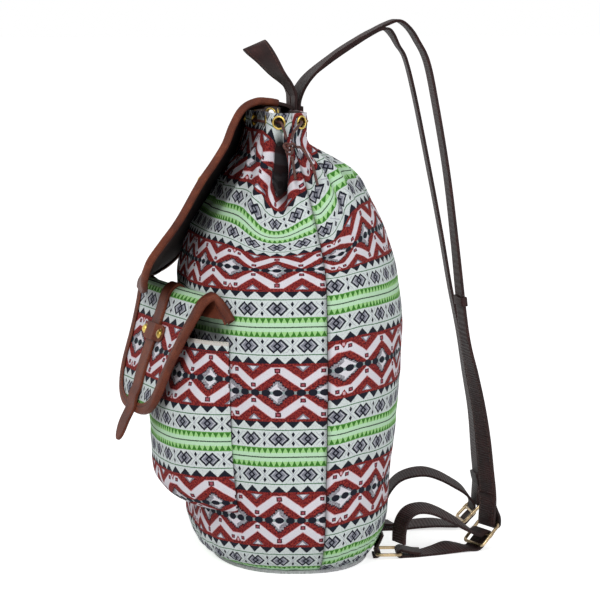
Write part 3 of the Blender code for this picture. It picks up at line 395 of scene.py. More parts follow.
def eyelet_angles():
    """Angles of the eyelets round the neck, in degrees from +X."""
    back = list(EYELET_BACK) + [180 - a for a in reversed(EYELET_BACK)]
    front = [180 + a for a in EYELET_FRONT] + [360 - a for a in reversed(EYELET_FRONT)]
    return back + front


EYELET_ANGLES = eyelet_angles()


def pleat_wave(degrees):
    """Inward where the cord lies outside the cloth, outward where it lies inside."""
    stops = [EYELET_ANGLES[-1] - 360] + EYELET_ANGLES + [EYELET_ANGLES[0] + 360]
    d = degrees % 360
    for k, (a, b) in enumerate(zip(stops, stops[1:])):
        if a <= d <= b:
            return (1 if k % 2 else -1) * math.sin(math.pi * (d - a) / (b - a))
    return 0.0


def relief(degrees, x, z):
    """How far the cloth stands out of the plain loft, by its gathers."""
    behind = math.sin(math.radians(degrees)) > 0
    stack = math.exp(-(x / DENT_HALF_WIDTH) ** 6) if behind else 0.0
    out = (PLEAT_DEPTH * smooth_step(PLEAT_FROM, NECK_HEIGHT, z) * pleat_wave(degrees)
           * (1 - stack))
    fold = math.cos(math.radians(degrees) * FOLD_COUNT)
    gathered_here = bump_between(FOLD_FROM, FOLD_PEAK, NECK_HEIGHT, z)
    out += FOLD_DEPTH * gathered_here * fold
    for side in (-GUSSET_ANGLE, 180 + GUSSET_ANGLE):
        off = angle_from(degrees, side) / GUSSET_SPREAD
        out -= GUSSET_DEPTH * gathered_here * math.exp(-off * off)
    return out - DENT_DEPTH * smooth_step(DENT_FROM, NECK_HEIGHT, z) * stack


def loft(degrees, z):
    """Point of the plain loft and its outward direction within the level."""
    half, front, back = smooth_between(SACK_LEVELS, z)
    t = math.radians(degrees)
    shift = -NECK_LEAN * smooth_step(LEAN_FROM, NECK_HEIGHT, z)
    roundness = BACK_ROUNDNESS if math.sin(t) >= 0 else FRONT_ROUNDNESS
    depth = back - shift if math.sin(t) >= 0 else front + shift
    cx, sy = math.cos(t), math.sin(t)
    point = Vector((half * power(cx, 2 / roundness), shift + depth * power(sy, 2 / roundness), z))
    way = Vector((power(cx, 2 - 2 / roundness) / half, power(sy, 2 - 2 / roundness) / depth, 0))
    return point, way.normalized()


def gathered(degrees, z):
    point, way = loft(degrees, z)
    return point + way * relief(degrees, point.x, z)


def facet_ends(degrees):
    """Angles at the two ends of the flat that an eyelet is set in."""
    a, b = loft(degrees - 1, EYELET_HEIGHT)[0], loft(degrees + 1, EYELET_HEIGHT)[0]
    half = 2 * EYELET_FLAT / (b - a).length
    return degrees - half, degrees + half


FACETS = [facet_ends(angle) for angle in EYELET_ANGLES]


def sack(degrees, z):
    """Outer face of the sack's cloth: flat in the neck at each eyelet."""
    plain = gathered(degrees, z)
    flat = smooth_step(FOLD_PEAK, NECK_HEIGHT, z)
    if flat == 0.0:
        return plain
    for low, high in FACETS:
        share = angle_from(degrees, low) / (high - low)
        if 0.0 <= share <= 1.0:
            return plain.lerp(gathered(low, z).lerp(gathered(high, z), share), flat)
    return plain


def sack_normal(degrees, z):
    d, h = 0.4, 0.0006
    low, high = max(z - h, SACK_LEVELS[0][0]), min(z + h, RIM_HEIGHT)
    round_way = sack(degrees + d, z) - sack(degrees - d, z)
    up_way = sack(degrees, high) - sack(degrees, low)
    return round_way.cross(up_way).normalized()


def on_sack(x, z, off):
    """Point off the front of the sack by the given distance."""
    half = smooth_between(SACK_LEVELS, z)[0]
    degrees = -math.degrees(math.acos(power(x / half, FRONT_ROUNDNESS / 2)))
    return sack(degrees, z) + sack_normal(degrees, z) * off


def eyelet_seat(degrees):
    """Middle of the cloth at an eyelet, the way out of it and the way round the neck."""
    low, high = (sack(d, EYELET_HEIGHT) for d in facet_ends(degrees))
    along = (high - low).normalized()
    normal = along.cross(Vector((0, 0, 1)))
    return (low + high) / 2 - normal * CLOTH / 2, normal, along


print("eyelets at", EYELET_ANGLES)

# %% [markdown]
# ## The drawcord
#
# The neck is shut by one leather cord, woven out and in through twelve eyelets and tied in
# an overhand knot at the side, with two tails. A curve with a round bevel is the plain way
# to make a cord: its line is the cord's own line, and its length can be measured. A fine
# grain darkens and roughens the round leather.

# %% Cord material
def leather_cord_look():
    look = Look("cord_leather", roughness=0.55)
    grain = look.noise(look.place(), 900.0, detail=4)
    look.set("Base Color", look.ramp(grain, (0.30, srgb(30, 12, 10)), (0.55, srgb(74, 34, 26)),
                                     (0.80, srgb(150, 96, 72))))
    look.bump(grain, 0.0004)
    return look.material


CORD_LOOK = leather_cord_look()

# %% Route of the cord
CORD = 0.0025
EYELET_STAND = 0.00045
EYELET_LIP = 0.0008
CORD_CLEAR = 0.0004
CORD_REACH = CLOTH / 2 + EYELET_STAND + EYELET_LIP + CORD / 2 + CORD_CLEAR
CORD_STEP = 0.0029
KNOT = Vector((0.1010, -0.0190, 0.3680))
KNOT_SCALE = 0.00175
CORD_FALL_BACK = ((-0.0020, 0.0022, 0.0075), (-0.0055, 0.0050, 0.0135))
CORD_FALL_FRONT = ((-0.0020, -0.0022, 0.0075), (-0.0065, -0.0030, 0.0135))
TAIL_LONG = ((0.0010, 0.0061, 0.0010), (0.0015, 0.0110, -0.0010), (0.0050, 0.0190, -0.0150),
             (0.0130, 0.0220, -0.0310))
TAIL_SHORT = ((0.0010, 0.0020, -0.0070), (0.0020, 0.0030, -0.0130), (0.0070, 0.0040, -0.0260))


def cord_points():
    """Drawcord from the knot round the neck and back, outside and inside by turns."""
    points = [KNOT + Vector(p) for p in CORD_FALL_BACK]
    for k, degrees in enumerate(EYELET_ANGLES):
        side = 1 if k % 2 == 0 else -1
        centre, normal, along = eyelet_seat(degrees)
        points.append(centre - along * CORD_STEP + normal * side * CORD_REACH)
        points.append(centre + along * CORD_STEP - normal * side * CORD_REACH)
        if k == len(EYELET_ANGLES) - 1:
            break
        span = EYELET_ANGLES[k + 1] - degrees
        inner = 4 if span > 40 else 2
        for j in range(1, inner + 1):
            between = degrees + span * j / (inner + 1)
            away = sack_normal(between, EYELET_HEIGHT)
            middle = sack(between, EYELET_HEIGHT) - away * CLOTH / 2
            points.append(middle - away * side * CORD_REACH)
    return points + [KNOT + Vector(p) for p in reversed(CORD_FALL_FRONT)]


def knot_points(steps):
    """A trefoil, which is an overhand knot with its ends joined."""
    points = []
    for k in range(steps):
        t = math.tau * k / steps
        turn = Vector((-math.sin(3 * t), math.sin(t) + 2 * math.sin(2 * t),
                       math.cos(t) - 2 * math.cos(2 * t)))
        points.append(KNOT + KNOT_SCALE * turn)
    return points


# %% Cord curves
def length_of(points):
    return sum((b - a).length for a, b in zip(points, points[1:]))


def smooth_run(points, steps):
    return [through(points, k / steps) for k in range(steps + 1)]


def take_place(thing, slot, *nodes):
    """The piece rides with the bag and stands for its CAD nodes, which it hides. The slot is not
    used.
    """
    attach(thing, "root")
    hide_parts(*nodes)
    return thing


def add_cord(name, points, node, closed=False):
    """Round leather cord through the points."""
    curve = bpy.data.curves.new(name, "CURVE")
    curve.dimensions = "3D"
    curve.bevel_depth = CORD / 2
    curve.bevel_resolution = 3
    curve.use_fill_caps = not closed
    curve.materials.append(CORD_LOOK)
    spline = curve.splines.new("POLY")
    spline.points.add(len(points) - 1)
    for slot, point in zip(spline.points, points):
        slot.co = (*point, 1.0)
    spline.use_cyclic_u = closed
    thing = bpy.data.objects.new(name, curve)
    bpy.context.scene.collection.objects.link(thing)
    return take_place(thing, "cord", node)


long_tail_route = smooth_run([KNOT + Vector(p) for p in TAIL_LONG], 20)
short_tail_route = smooth_run([KNOT + Vector(p) for p in TAIL_SHORT], 16)
add_cord("drawcord_lacing", smooth_run(cord_points(), 240), "drawcord")
knot = add_cord("overhand_knot", knot_points(72), "drawcord_knot", closed=True)
long_tail = add_cord("cord_tail_long", long_tail_route, "drawcord_tail_long")
short_tail = add_cord("cord_tail_short", short_tail_route, "drawcord_tail_short")
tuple(long_tail_route[0])
length_of(long_tail_route)
print("tails, mm:", round(1000 * length_of(long_tail_route)),
      round(1000 * length_of(short_tail_route)))

# %% [markdown]
# ## Sheets of cloth and leather
#
# Cloth, bindings and straps are all thin sheets. Each starts as a flat grid of squares. A
# surface function moves every corner to its place, a Solidify modifier gives the sheet its
# thickness, and a Bevel rounds the cut edges. The grid also carries a UV map in metres, so
# that a print or a row of stitches keeps its real size on the curved cloth.

# %% Sheet from a surface function
def settle(thing, sharp=50.0):
    """Applies the modifiers and keeps only real corners sharp."""
    evaluated = thing.evaluated_get(bpy.context.evaluated_depsgraph_get())
    data = bpy.data.meshes.new_from_object(evaluated)
    thing.modifiers.clear()
    thing.data = data
    data.shade_smooth()
    data.set_sharp_from_angle(angle=math.radians(sharp))
    return thing


def add_mesh(name, bm, looks):
    data = bpy.data.meshes.new(name)
    bm.to_mesh(data)
    bm.free()
    for look in looks:
        data.materials.append(look)
    thing = bpy.data.objects.new(name, data)
    bpy.context.scene.collection.objects.link(thing)
    return thing


def grid_sheet(name, surface, u_marks, v_marks, thickness, looks, measure, offset=0.0,
               rim=0.0004, crease=None):
    """Closed sheet on a surface function. measure gives the UV in metres at (u, v), and
    crease gives how much painted shade lies at that point, from 0 to 1."""
    columns, rows = len(u_marks) - 1, len(v_marks) - 1
    bm = bmesh.new()
    bmesh.ops.create_grid(bm, x_segments=columns, y_segments=rows, size=0.5)
    bmesh.ops.translate(bm, verts=bm.verts, vec=(0.5, 0.5, 0))
    cloth_map = bm.loops.layers.uv.new("cloth")
    # A second UV map carries that painted shade to the material.
    painted_shade_map = bm.loops.layers.uv.new("crease") if crease else None
    shares = {}
    for vert in bm.verts:
        shares[vert] = (u_marks[round(vert.co.x * columns)], v_marks[round(vert.co.y * rows)])
    for face in bm.faces:
        for corner in face.loops:
            corner[cloth_map].uv = measure(*shares[corner.vert])
            if crease:
                corner[painted_shade_map].uv = (crease(*shares[corner.vert]), 0.0)
    for vert, (u, v) in shares.items():
        vert.co = surface(u, v)
    thing = add_mesh(name, bm, looks)
    wall = thing.modifiers.new("thickness", "SOLIDIFY")
    wall.thickness = thickness
    wall.offset = offset
    if len(looks) > 1:
        wall.material_offset = 1
    if rim:
        edge = thing.modifiers.new("soft_edge", "BEVEL")
        edge.width = rim
        edge.segments = 2
        edge.limit_method = "ANGLE"
        edge.angle_limit = math.radians(50)
    return settle(thing)


def evenly(count):
    return [k / count for k in range(count + 1)]


def arc_measure(surface, u_marks, v_marks):
    """UV in metres: distances along the middle row and the middle column of a surface."""
    def runs(marks, point):
        total, found = 0.0, {marks[0]: 0.0}
        for a, b in zip(marks, marks[1:]):
            total += (point(b) - point(a)).length
            found[b] = total
        return found, total

    middle_v = v_marks[len(v_marks) // 2]
    across, width = runs(u_marks, lambda u: surface(u, middle_v))
    down = runs(v_marks, lambda v: surface(0.5, v))[0]
    return lambda u, v: (across[u] - width / 2, down[v])


print("sheets ready")

# %% [markdown]
# ## The print
#
# The cotton is printed in bands: a green band of small teeth, a row of double diamonds, a
# thin line, a row of triangles, and a broad red band with a white zigzag that is mirrored
# about a row of ovals. Every motif repeats, so a coordinate is folded at the motif's pitch
# and compared with the motif's shape. The pattern unit is what one pixel of the photograph
# covers on the bag's near side, which keeps the numbers easy to check against it.

# %% Print and canvas
UNIT = 0.00086
BAND_REPEAT = 129.5
GREEN_HALF, PALE_HALF = 9.8, 4.4
DIAMOND_ROW = 18.3
DIAMOND_SHIFT, DIAMOND_SIZE, SMALL_SIZE = 3.6, (7.6, 7.2), (1.7, 2.8)
LINE_ROW = 27.3
TRIANGLE_HEIGHT = 6.6
TOOTH_PITCH = 6.0
DIAMOND_PITCH = 29.6
TRIANGLE_PITCH = DIAMOND_PITCH / 2
RED_HALF = 29.0
ZIGZAG_REPEAT = 3.5 * DIAMOND_PITCH
ZIGZAG_HALF = 5.1
CROSSING = 27.0
PEAK = ZIGZAG_REPEAT / 2
OVAL_PITCH, OVAL_SIZE = 11.5, (22.0, 11.0)
HEM_STITCH = 0.0026

WHITE = srgb(232, 229, 236)
CREAM = srgb(226, 234, 232)
INK = srgb(24, 26, 38)
GREY = srgb(134, 136, 148)
LEAF = srgb(62, 126, 44)
MINT = srgb(170, 222, 146)
PALE_MINT = srgb(200, 236, 200)
RED = srgb(124, 32, 36)
DEEP_RED = srgb(58, 12, 22)
BRIGHT_RED = srgb(168, 64, 52)
PINK = srgb(226, 176, 184)
MAROON = srgb(70, 18, 30)


def box_mask(x, y, half_x, half_y):
    return (abs(x) < half_x) & (abs(y) < half_y)


def diamond(x, y, half_x, half_y):
    """Grows from 0 in the middle to 1 on the outline of a diamond."""
    return abs(x) / half_x + abs(y) / half_y


def green_band(look, across, w, colour):
    """Mint band with leaf-green teeth that point inwards, and a thin dark line."""
    tooth = across.folded(TOOTH_PITCH)
    band = w < GREEN_HALF
    return look.layers(colour, (MINT, band), (PALE_MINT, w < PALE_HALF),
                       (LEAF, band & (tooth < ((w - 3.8) * 0.50))),
                       (srgb(104, 170, 78), band & (w > 8.9)), (srgb(58, 84, 62), w < 0.6))


def diamond_row(look, across, w, colour):
    """Two overlapping diamonds at each pitch, and two small ones between."""
    y = w - DIAMOND_ROW
    x = across.folded(DIAMOND_PITCH)
    near = diamond(x - DIAMOND_SHIFT, y, *DIAMOND_SIZE)
    far = diamond(x + DIAMOND_SHIFT, y, *DIAMOND_SIZE)
    stripe = (abs(near - 0.52) < 0.07) & (x > DIAMOND_SHIFT)
    small = diamond(x - DIAMOND_PITCH / 2, abs(y) - 4.5, *SMALL_SIZE)
    cross = abs(abs(x - DIAMOND_PITCH / 2) * 1.1 - abs(y)) < 0.4
    return look.layers(colour, (GREY, (near < 0.92) | (far < 0.92)), (srgb(206, 208, 214), stripe),
                       (INK, (abs(near - 0.86) < 0.155) | (abs(far - 0.86) < 0.155)),
                       (srgb(176, 178, 190), cross & (far > 1.02) & (abs(y) < 6.6)),
                       (INK, small < 1.0))


def triangle_row(look, across, w, colour):
    """Thin line and the black triangles whose feet stand on the red band."""
    x = across.folded(TRIANGLE_PITCH)
    foot = BAND_REPEAT / 2 - RED_HALF
    tip = foot - TRIANGLE_HEIGHT
    black = (x < ((w - tip) * 1.08)) & (w < foot) & (w > tip)
    return look.layers(colour, (srgb(74, 122, 84), abs(w - LINE_ROW) < 0.5), (INK, black))


def squares_of(x, r, shrink):
    """The small outlined squares at the zigzag's corners."""
    return (box_mask(x - 7.1, r - 21.8, 2.4 - shrink, 2.0 - 0.8 * shrink)
            | box_mask(x - PEAK, r - 22.0, 2.9 - shrink, 2.3 - 0.8 * shrink)
            | box_mask(x - CROSSING, r - 7.7, 2.7 - shrink, 2.1 - 0.8 * shrink))


def zigzag_fields(look, across, x, r, line, colour, speckle):
    """What lies inside the zigzag: stepped lozenges, grey on one side and white on the other."""
    field = r < line - ZIGZAG_HALF
    half = across.math("FLOORED_MODULO", ZIGZAG_REPEAT / 2)
    left = half > PEAK / 2
    step = r.math("SNAP", 1.6) + 0.8
    side = abs(x - PEAK).math("SNAP", 2.2)
    lozenge, heart = side * 0.80 + step, x.math("SNAP", 2.2) * 0.62 + step
    shade = look.ramp(speckle, (0.38, srgb(104, 92, 100)), (0.54, srgb(172, 172, 180)))
    dots = (abs(lozenge - 11.2) < 1.0) | (abs(heart - 11.8) < 1.0)
    outer, inner = abs(x - PEAK) * 0.9 + r, x * 0.62 + r
    return look.layers(colour, (INK, dots & field & (speckle > 0.46)),
                       (shade, ((lozenge < 10.6) | (heart < 11.2)) & field),
                       (WHITE, ((outer < 9.8) | (inner < 10.4)) & (left < 0.5) & field),
                       (WHITE, ((outer < 6.2) | (inner < 7.2)) & field))


def oval_row(look, x, r, colour):
    """Black ovals along the middle of the red band, with pale links."""
    bead = (x + 5.8).folded(OVAL_PITCH)
    wide, tall = OVAL_SIZE
    return look.layers(colour, (srgb(150, 168, 168), (r < 1.5) & (bead > 3.4)),
                       (INK, (bead * bead / wide + r * r / tall) < 1.0))


def red_band(look, across, r, colour, speckle):
    """Red band: white zigzag mirrored about a row of black ovals."""
    red = look.ramp(speckle, (0.40, DEEP_RED), (0.49, RED), (0.60, BRIGHT_RED))
    colour = look.paint(colour, red, r < RED_HALF)
    x = across.folded(ZIGZAG_REPEAT)
    line = (abs(x - CROSSING) * 0.70 + 7.6) & ((x > CROSSING) * 3.0 + 21.7)
    colour = zigzag_fields(look, across, x, r, line, colour, speckle)
    off = abs(r - line)
    between = (r < 25.6) & (r > 2.8)
    chip = abs(x - CROSSING)
    colour = look.layers(
        colour, (PINK, (off < ZIGZAG_HALF) & between),
        (WHITE, (off < ZIGZAG_HALF - 0.8) & between & (r < 24.8)),
        (GREY, (chip < ((r - 21.0) * 1.25)) & (r < 26.6)),
        (WHITE, (chip < (r - 22.6)) & (r < 26.2)),
        (red, (x < ((r - 20.2) * 0.75)) & (r < 27.0)),
        (PINK, (x < 1.4) & (abs(r - 24.3) < 1.5)),
        (MAROON, squares_of(x, r, 0.0)), (srgb(168, 84, 96), squares_of(x, r, 1.3)))
    return oval_row(look, x, r, colour)


def hem_marks(look, u, v, thread, colour, hem):
    """Pale folded edge with dark stitches where the coordinate u or v passes the hem's place."""
    side, top = hem
    edge = (abs(u) > side) | (v > top)
    seam = (abs(abs(u) - side + 0.0006) < 0.0004) | (abs(v - top + 0.0060) < 0.0004)
    gaps = ((u + v).folded(HEM_STITCH) > 0.0004) & (v < top - 0.0050)
    return look.layers(colour, (srgb(214, 204, 196), edge & (thread > 0.44)),
                       (srgb(44, 34, 38), seam & gaps))


def printed_canvas(name, across_shift, up_shift, with_painted_shade=False, hem=None):
    """Banded print. A zigzag notch is at across_shift and a green band at up_shift."""
    look = Look(name, roughness=0.88)
    u, v = look.uv("cloth")
    flat = look.vector(u, v)
    wobble = look.noise(flat, 260.0, detail=1)
    thread = look.noise(flat, 1500.0, detail=2)
    across = u / UNIT - across_shift + (wobble - 0.5) * 1.1
    up = v / UNIT - up_shift + (thread - 0.5) * 1.3
    w = up.folded(BAND_REPEAT)
    r = w * -1 + BAND_REPEAT / 2
    speckle = look.noise(flat, 620.0, detail=4, roughness=0.8)
    cream = look.ramp(speckle, (0.34, srgb(196, 206, 208)), (0.52, CREAM))
    colour = green_band(look, across, w, cream)
    colour = diamond_row(look, across - PEAK, w, colour)
    colour = triangle_row(look, across - PEAK, w, colour)
    colour = red_band(look, across, r, colour, speckle)
    worn = look.ramp(thread, (0.30, (0.78, 0.78, 0.80, 1)), (0.56, (1, 1, 1, 1)))
    colour = look.paint(colour, worn, 1.0, blend="MULTIPLY")
    if hem:
        colour = hem_marks(look, u, v, thread, colour, hem)
    # Painted shade: near-black laid over the print as far as the crease UV map gives, in folds,
    # along the seams and under the pocket flap.
    if with_painted_shade:
        colour = look.paint(colour, srgb(14, 7, 9), look.uv("crease")[0] & 0.98)
    look.set("Base Color", colour)
    look.set("Specular IOR Level", 0.2)
    weave = (u / 0.00018).math("SINE") * (v / 0.00018).math("SINE")
    look.bump(weave * 0.4 + thread, 0.0003)
    return look.material


def lining_cloth(name, dark, light):
    look = Look(name, roughness=0.9)
    grain = look.noise(look.place(), 700.0, detail=3)
    look.set("Base Color", look.ramp(grain, (0.3, dark), (0.7, light)))
    look.bump(grain, 0.0003)
    return look.material


FRONT_PRINT = printed_canvas("printed_canvas_front", -3.3, 1.0, with_painted_shade=True)
BACK_PRINT = printed_canvas("printed_canvas_back", 16.0, 21.7, with_painted_shade=True)
POCKET_PRINT = printed_canvas("printed_canvas_pocket", 50.8, 93.0, hem=(0.1105, 0.1652))
FLAP_PRINT = printed_canvas("printed_canvas_flap", 69.0, 27.0)
LID_PRINT = printed_canvas("printed_canvas_lid", 20.0, 60.0)
LINING = lining_cloth("sack_lining", srgb(58, 48, 50), srgb(92, 80, 78))
LID_LINING = lining_cloth("lid_lining", srgb(26, 14, 12), srgb(48, 28, 24))
PLAIN_COTTON = lining_cloth("plain_cotton", srgb(150, 150, 152), srgb(206, 208, 210))
print("print repeats every", round(1000 * BAND_REPEAT * UNIT), "mm")

# %% [markdown]
# ## Leather
#
# The bindings, straps and handle are a thin coated leather. Two browns are used: a rust
# brown on the bindings and flap straps, a darker one on the others. Noise at two scales
# gives the pebbled grain and the rubbed, paler patches, and a seam of stitches follows the
# long edges on the piece's own UV map.

# %% Leather materials
STITCH_PITCH = 0.0034
SEAM_INSET = 0.0020
RIB_PITCH = 0.0016
RUST_TONES = srgb(50, 22, 14), srgb(94, 44, 28), srgb(142, 78, 52)
BROWN_TONES = srgb(19, 8, 8), srgb(36, 18, 18), srgb(70, 38, 35)


def leather(name, tones, width=None, thread=None, ribbed=False):
    """Pebbled leather. A width adds a stitched seam near each long edge of that strip."""
    look = Look(name, roughness=0.52)
    dark, middle, light = tones
    place = look.place()
    pebble = look.noise(place, 1300.0, detail=3)
    patch = look.noise(place, 55.0, detail=4)
    tone = pebble * 0.45 + patch * 0.55
    colour = look.ramp(tone, (0.30, dark), (0.50, middle), (0.74, light))
    height = pebble
    if width:
        u, v = look.uv("cloth")
        edge = abs(u) - (width / 2 - SEAM_INSET)
        seam = abs(edge) < 0.00045
        stitches = seam & (v.folded(STITCH_PITCH) > 0.00055)
        colour = look.paint(colour, thread or dark, stitches)
        height = height * 0.6 - (abs(edge) < 0.0009) * 0.9 + stitches * 1.6
        if ribbed:
            height = height + (v / RIB_PITCH * math.tau).math("SINE") * 0.8
    look.set("Base Color", colour)
    look.set("Roughness", tone * 0.30 + 0.42)
    look.set("Specular IOR Level", 0.22)
    look.bump(height, 0.00035)
    return look.material


RUST = leather("rust_leather_plain", RUST_TONES)
RUST_STRAP = leather("rust_leather_strap", RUST_TONES, 0.020, srgb(56, 26, 20))
BROWN = leather("dark_leather_plain", BROWN_TONES)
BROWN_STRAP = leather("dark_leather_strap", BROWN_TONES, 0.024, srgb(84, 56, 48), ribbed=True)
BROWN_WEB = leather("dark_leather_web", BROWN_TONES, 0.022, srgb(64, 42, 38), ribbed=True)
print("leathers ready")

# %% [markdown]
# ## Brass
#
# Eyelets, rivets, slides and rings are stamped or bent brass wire. A metal needs little
# colour work: fine scratches in the roughness and a slight tarnish are what make it read as
# brass.

# %% Brass material
def brass(name, dark, light):
    look = Look(name, roughness=0.3, metallic=1.0)
    place = look.place()
    scratch = look.noise(look.scaled(place, (2200, 500, 900)), 1.0, detail=3)
    tarnish = look.noise(place, 140.0, detail=3)
    look.set("Base Color", look.ramp(tarnish, (0.3, dark), (0.6, light)))
    look.set("Roughness", scratch * 0.25 + 0.16)
    look.bump(scratch, 0.00006)
    return look.material


BRASS = brass("gold_metal", srgb(128, 104, 44), srgb(212, 186, 102))
PALE_BRASS = brass("gold_metal_pale", srgb(96, 80, 62), srgb(196, 174, 138))
print("brass ready")

# %% [markdown]
# ## The two side panels
#
# Front and back panels are cut straight and sewn together at the sides. Gathering them at
# the neck is what makes the print fan out from the cord. The UV map carries that: across,
# it is the distance round the widest girth, and up, it is the distance along the cloth. The
# two panels were cut at different heights of the print, so the bands miss each other at the
# seam, as they do on the real bag.

# %% Wrinkles
FINE_FOLDS = (
    (-33.0, 3.6, 0.0048), (-43.0, 3.0, 0.0034), (-2.0, 2.6, 0.0062), (-56.0, 4.4, 0.0036),
    (14.0, 3.0, 0.0044), (28.0, 3.4, 0.0048), (-72.0, 4.6, 0.0034), (42.0, 3.6, 0.0040),
    (56.0, 4.6, 0.0036), (166.0, 4.0, 0.0040), (194.0, 3.4, 0.0050), (208.0, 3.6, 0.0040),
    (222.0, 4.0, 0.0038), (236.0, 4.6, 0.0034), (147.0, 4.4, 0.0038), (128.0, 4.6, 0.0034),
    (258.0, 4.4, 0.0034), (281.0, 4.6, 0.0034),
)
FINE_FOLD_SPAN = (0.300, 0.350, 0.381)
FINE_FOLD_DRIFT = 60.0
SIDE_BULGE, BULGE_SIDE, BULGE_SPAN = 0.0080, (-96, -56, -26), (0.322, 0.368, 0.392)
BACK_HOLLOW, HOLLOW_SIDE, HOLLOW_SPAN = 0.0045, (30, 80, 130), (0.026, 0.080, 0.160)
DEEP_FOLD_DEPTH, DEEP_FOLD_HALF, DEEP_FOLD_SPAN = 0.0280, 3.3, (0.308, 0.350, 0.390)
PUCKER, PUCKER_FADE = 0.0022, (0.004, 0.050)
SLOW_WAVE, SHORT_WAVE = 0.0026, 0.0012
CALM_RISE, CALM_FADE = (0.0033, 0.02), (0.34, 0.372)
DEEP_FOLD = ((0.296, -8.0), (0.320, -11.2), (0.327, -13.9), (0.349, -18.7), (0.365, -19.3),
             (0.381, -20.0), (0.392, -22.0))


def fold_share(degrees, z, half):
    """1 on the middle of the long fold below the knotted eyelet, 0 clear of it. It sets the fold's
    depth and its painted shade.
    """
    off = abs(angle_from(degrees, smooth_between(DEEP_FOLD, z)[0])) / half
    return math.exp(-off ** 1.8) * bump_between(*DEEP_FOLD_SPAN, z)


def wrinkle(degrees, z, point):
    """Small folds below the neck, puckers on the bottom seam and a slow waviness."""
    side = angle_from(degrees, 0)
    out = SIDE_BULGE * bump_between(*BULGE_SIDE, side) * bump_between(*BULGE_SPAN, z)
    out -= BACK_HOLLOW * bump_between(*HOLLOW_SIDE, side) * bump_between(*HOLLOW_SPAN, z)
    out -= DEEP_FOLD_DEPTH * fold_share(degrees, z, DEEP_FOLD_HALF)
    reach = bump_between(*FINE_FOLD_SPAN, z)
    if reach:
        for centre, spread, depth in FINE_FOLDS:
            drift = FINE_FOLD_DRIFT * (z - FINE_FOLD_SPAN[1]) * math.sin(centre)
            off = abs(angle_from(degrees, centre + drift)) / spread
            if off < 3:
                out -= depth * reach * math.exp(-off ** 1.6)
    pucker = 1 - smooth_step(*PUCKER_FADE, z)
    out += PUCKER * pucker * noise.noise(Vector((degrees * 0.30, z * 30, 1.7)))
    calm = smooth_step(*CALM_RISE, z) * (1 - smooth_step(*CALM_FADE, z))
    out += SLOW_WAVE * calm * noise.noise(point * 15)
    out += SHORT_WAVE * calm * noise.noise(point * 42 + Vector((5, 0, 0)))
    return out


# %% Panels
PANEL_CLOTH = CLOTH * 0.8
PANEL_COLUMNS = 330
PANEL_ROWS = 180
SEAM_TUCK = 0.0004
GIRTH_LEVEL = 0.130
CLOTH_TOP = 0.3966
FRONT_PULL = (0.0128, 0.0260, -17.0, 21.0)
BACK_PULL = (0.0, 0.0330, 5.0, 21.0)
BACK_TILT = 0.0040
NECK_SPARE, SPARE_SIDE, SPARE_RISE = 0.022, (-22.0, -14.0), (0.286, 0.350)
BROAD_RISE = (0.240, 0.310)
PEAK_RISE, PEAK_FADE = (0.256, 0.300), (0.350, 0.392)
CLEFT_PULL, CLEFT_SIDE, CLEFT_HALF, CLEFT_SPAN = 0.0120, -15.0, 6.0, (0.300, 0.336, 0.394)
# Strengths and places of the painted shade: in the seams, the small folds and the long cleft, and
# the painted shadow under the pocket flap.
SEAM_SHADE, FOLD_SHADE, CLEFT_SHADE = 0.5, 0.6, 2.7
FLAP_SHADE, SHADE_SIDE, SHADE_SPAN = 0.92, (-84, -52, -35), (0.184, 0.214, 0.232)


def sack_cloth(degrees, z):
    """Outer face of the dressed sack."""
    point = sack(degrees, z)
    way = loft(degrees, z)[1]
    return point + way * wrinkle(degrees, z, point)


def pulled_up(side, z, pull):
    """Extra cloth length below a point: the drawcord bunches the cloth at the bag's sides."""
    broad, peak, centre, spread = pull
    off = (side - centre) / spread
    out = broad * smooth_step(*BROAD_RISE, z)
    out += (peak * math.exp(-off * off) * smooth_step(*PEAK_RISE, z)
            * (1 - 0.7 * smooth_step(*PEAK_FADE, z)))
    cleft = (side - CLEFT_SIDE) / CLEFT_HALF
    return out + CLEFT_PULL * math.exp(-cleft * cleft) * bump_between(*CLEFT_SPAN, z)


def runs_at(angles, z):
    """Distances round the plain loft at height z, from the first of the angles."""
    runs, total = [0.0], 0.0
    for a, b in zip(angles, angles[1:]):
        total += (loft(b, z)[0] - loft(a, z)[0]).length
        runs.append(total)
    return runs


def panel_maps(start, stop, columns, rows, pull):
    """UV in metres of a panel: from the near seam round the girth, and along the cloth.

    At the neck the print keeps its size between the folds: the spare cloth is in them."""
    angles = [start + (stop - start) * k / columns for k in range(columns + 1)]
    low = SACK_LEVELS[0][0]
    levels = [low + (CLOTH_TOP - low) * k / rows for k in range(rows + 1)]
    girth, neck = runs_at(angles, GIRTH_LEVEL), runs_at(angles, FOLD_PEAK)
    if start > 90:
        girth, neck = [girth[-1] - g for g in girth], [neck[-1] - n for n in neck]
    hidden = NECK_SPARE if start > 90 else 0.0
    uvs = []
    for k, angle in enumerate(angles):
        side = angle_from(angle, 0) if math.cos(math.radians(angle)) >= 0 else 180 - angle % 360
        tilt = BACK_TILT * smooth_step(4, 26, side) if start < 90 else 0.0
        spare = neck[k] + hidden * (1 - smooth_step(*SPARE_SIDE, side))
        run, column = 0.0, []
        for j, z in enumerate(levels):
            if j:
                run += (loft(angle, z)[0] - loft(angle, levels[j - 1])[0]).length
            share = smooth_step(*SPARE_RISE, z)
            column.append((girth[k] * (1 - share) + spare * share,
                           run - tilt + pulled_up(side, z, pull)))
        uvs.append(column)
    return uvs


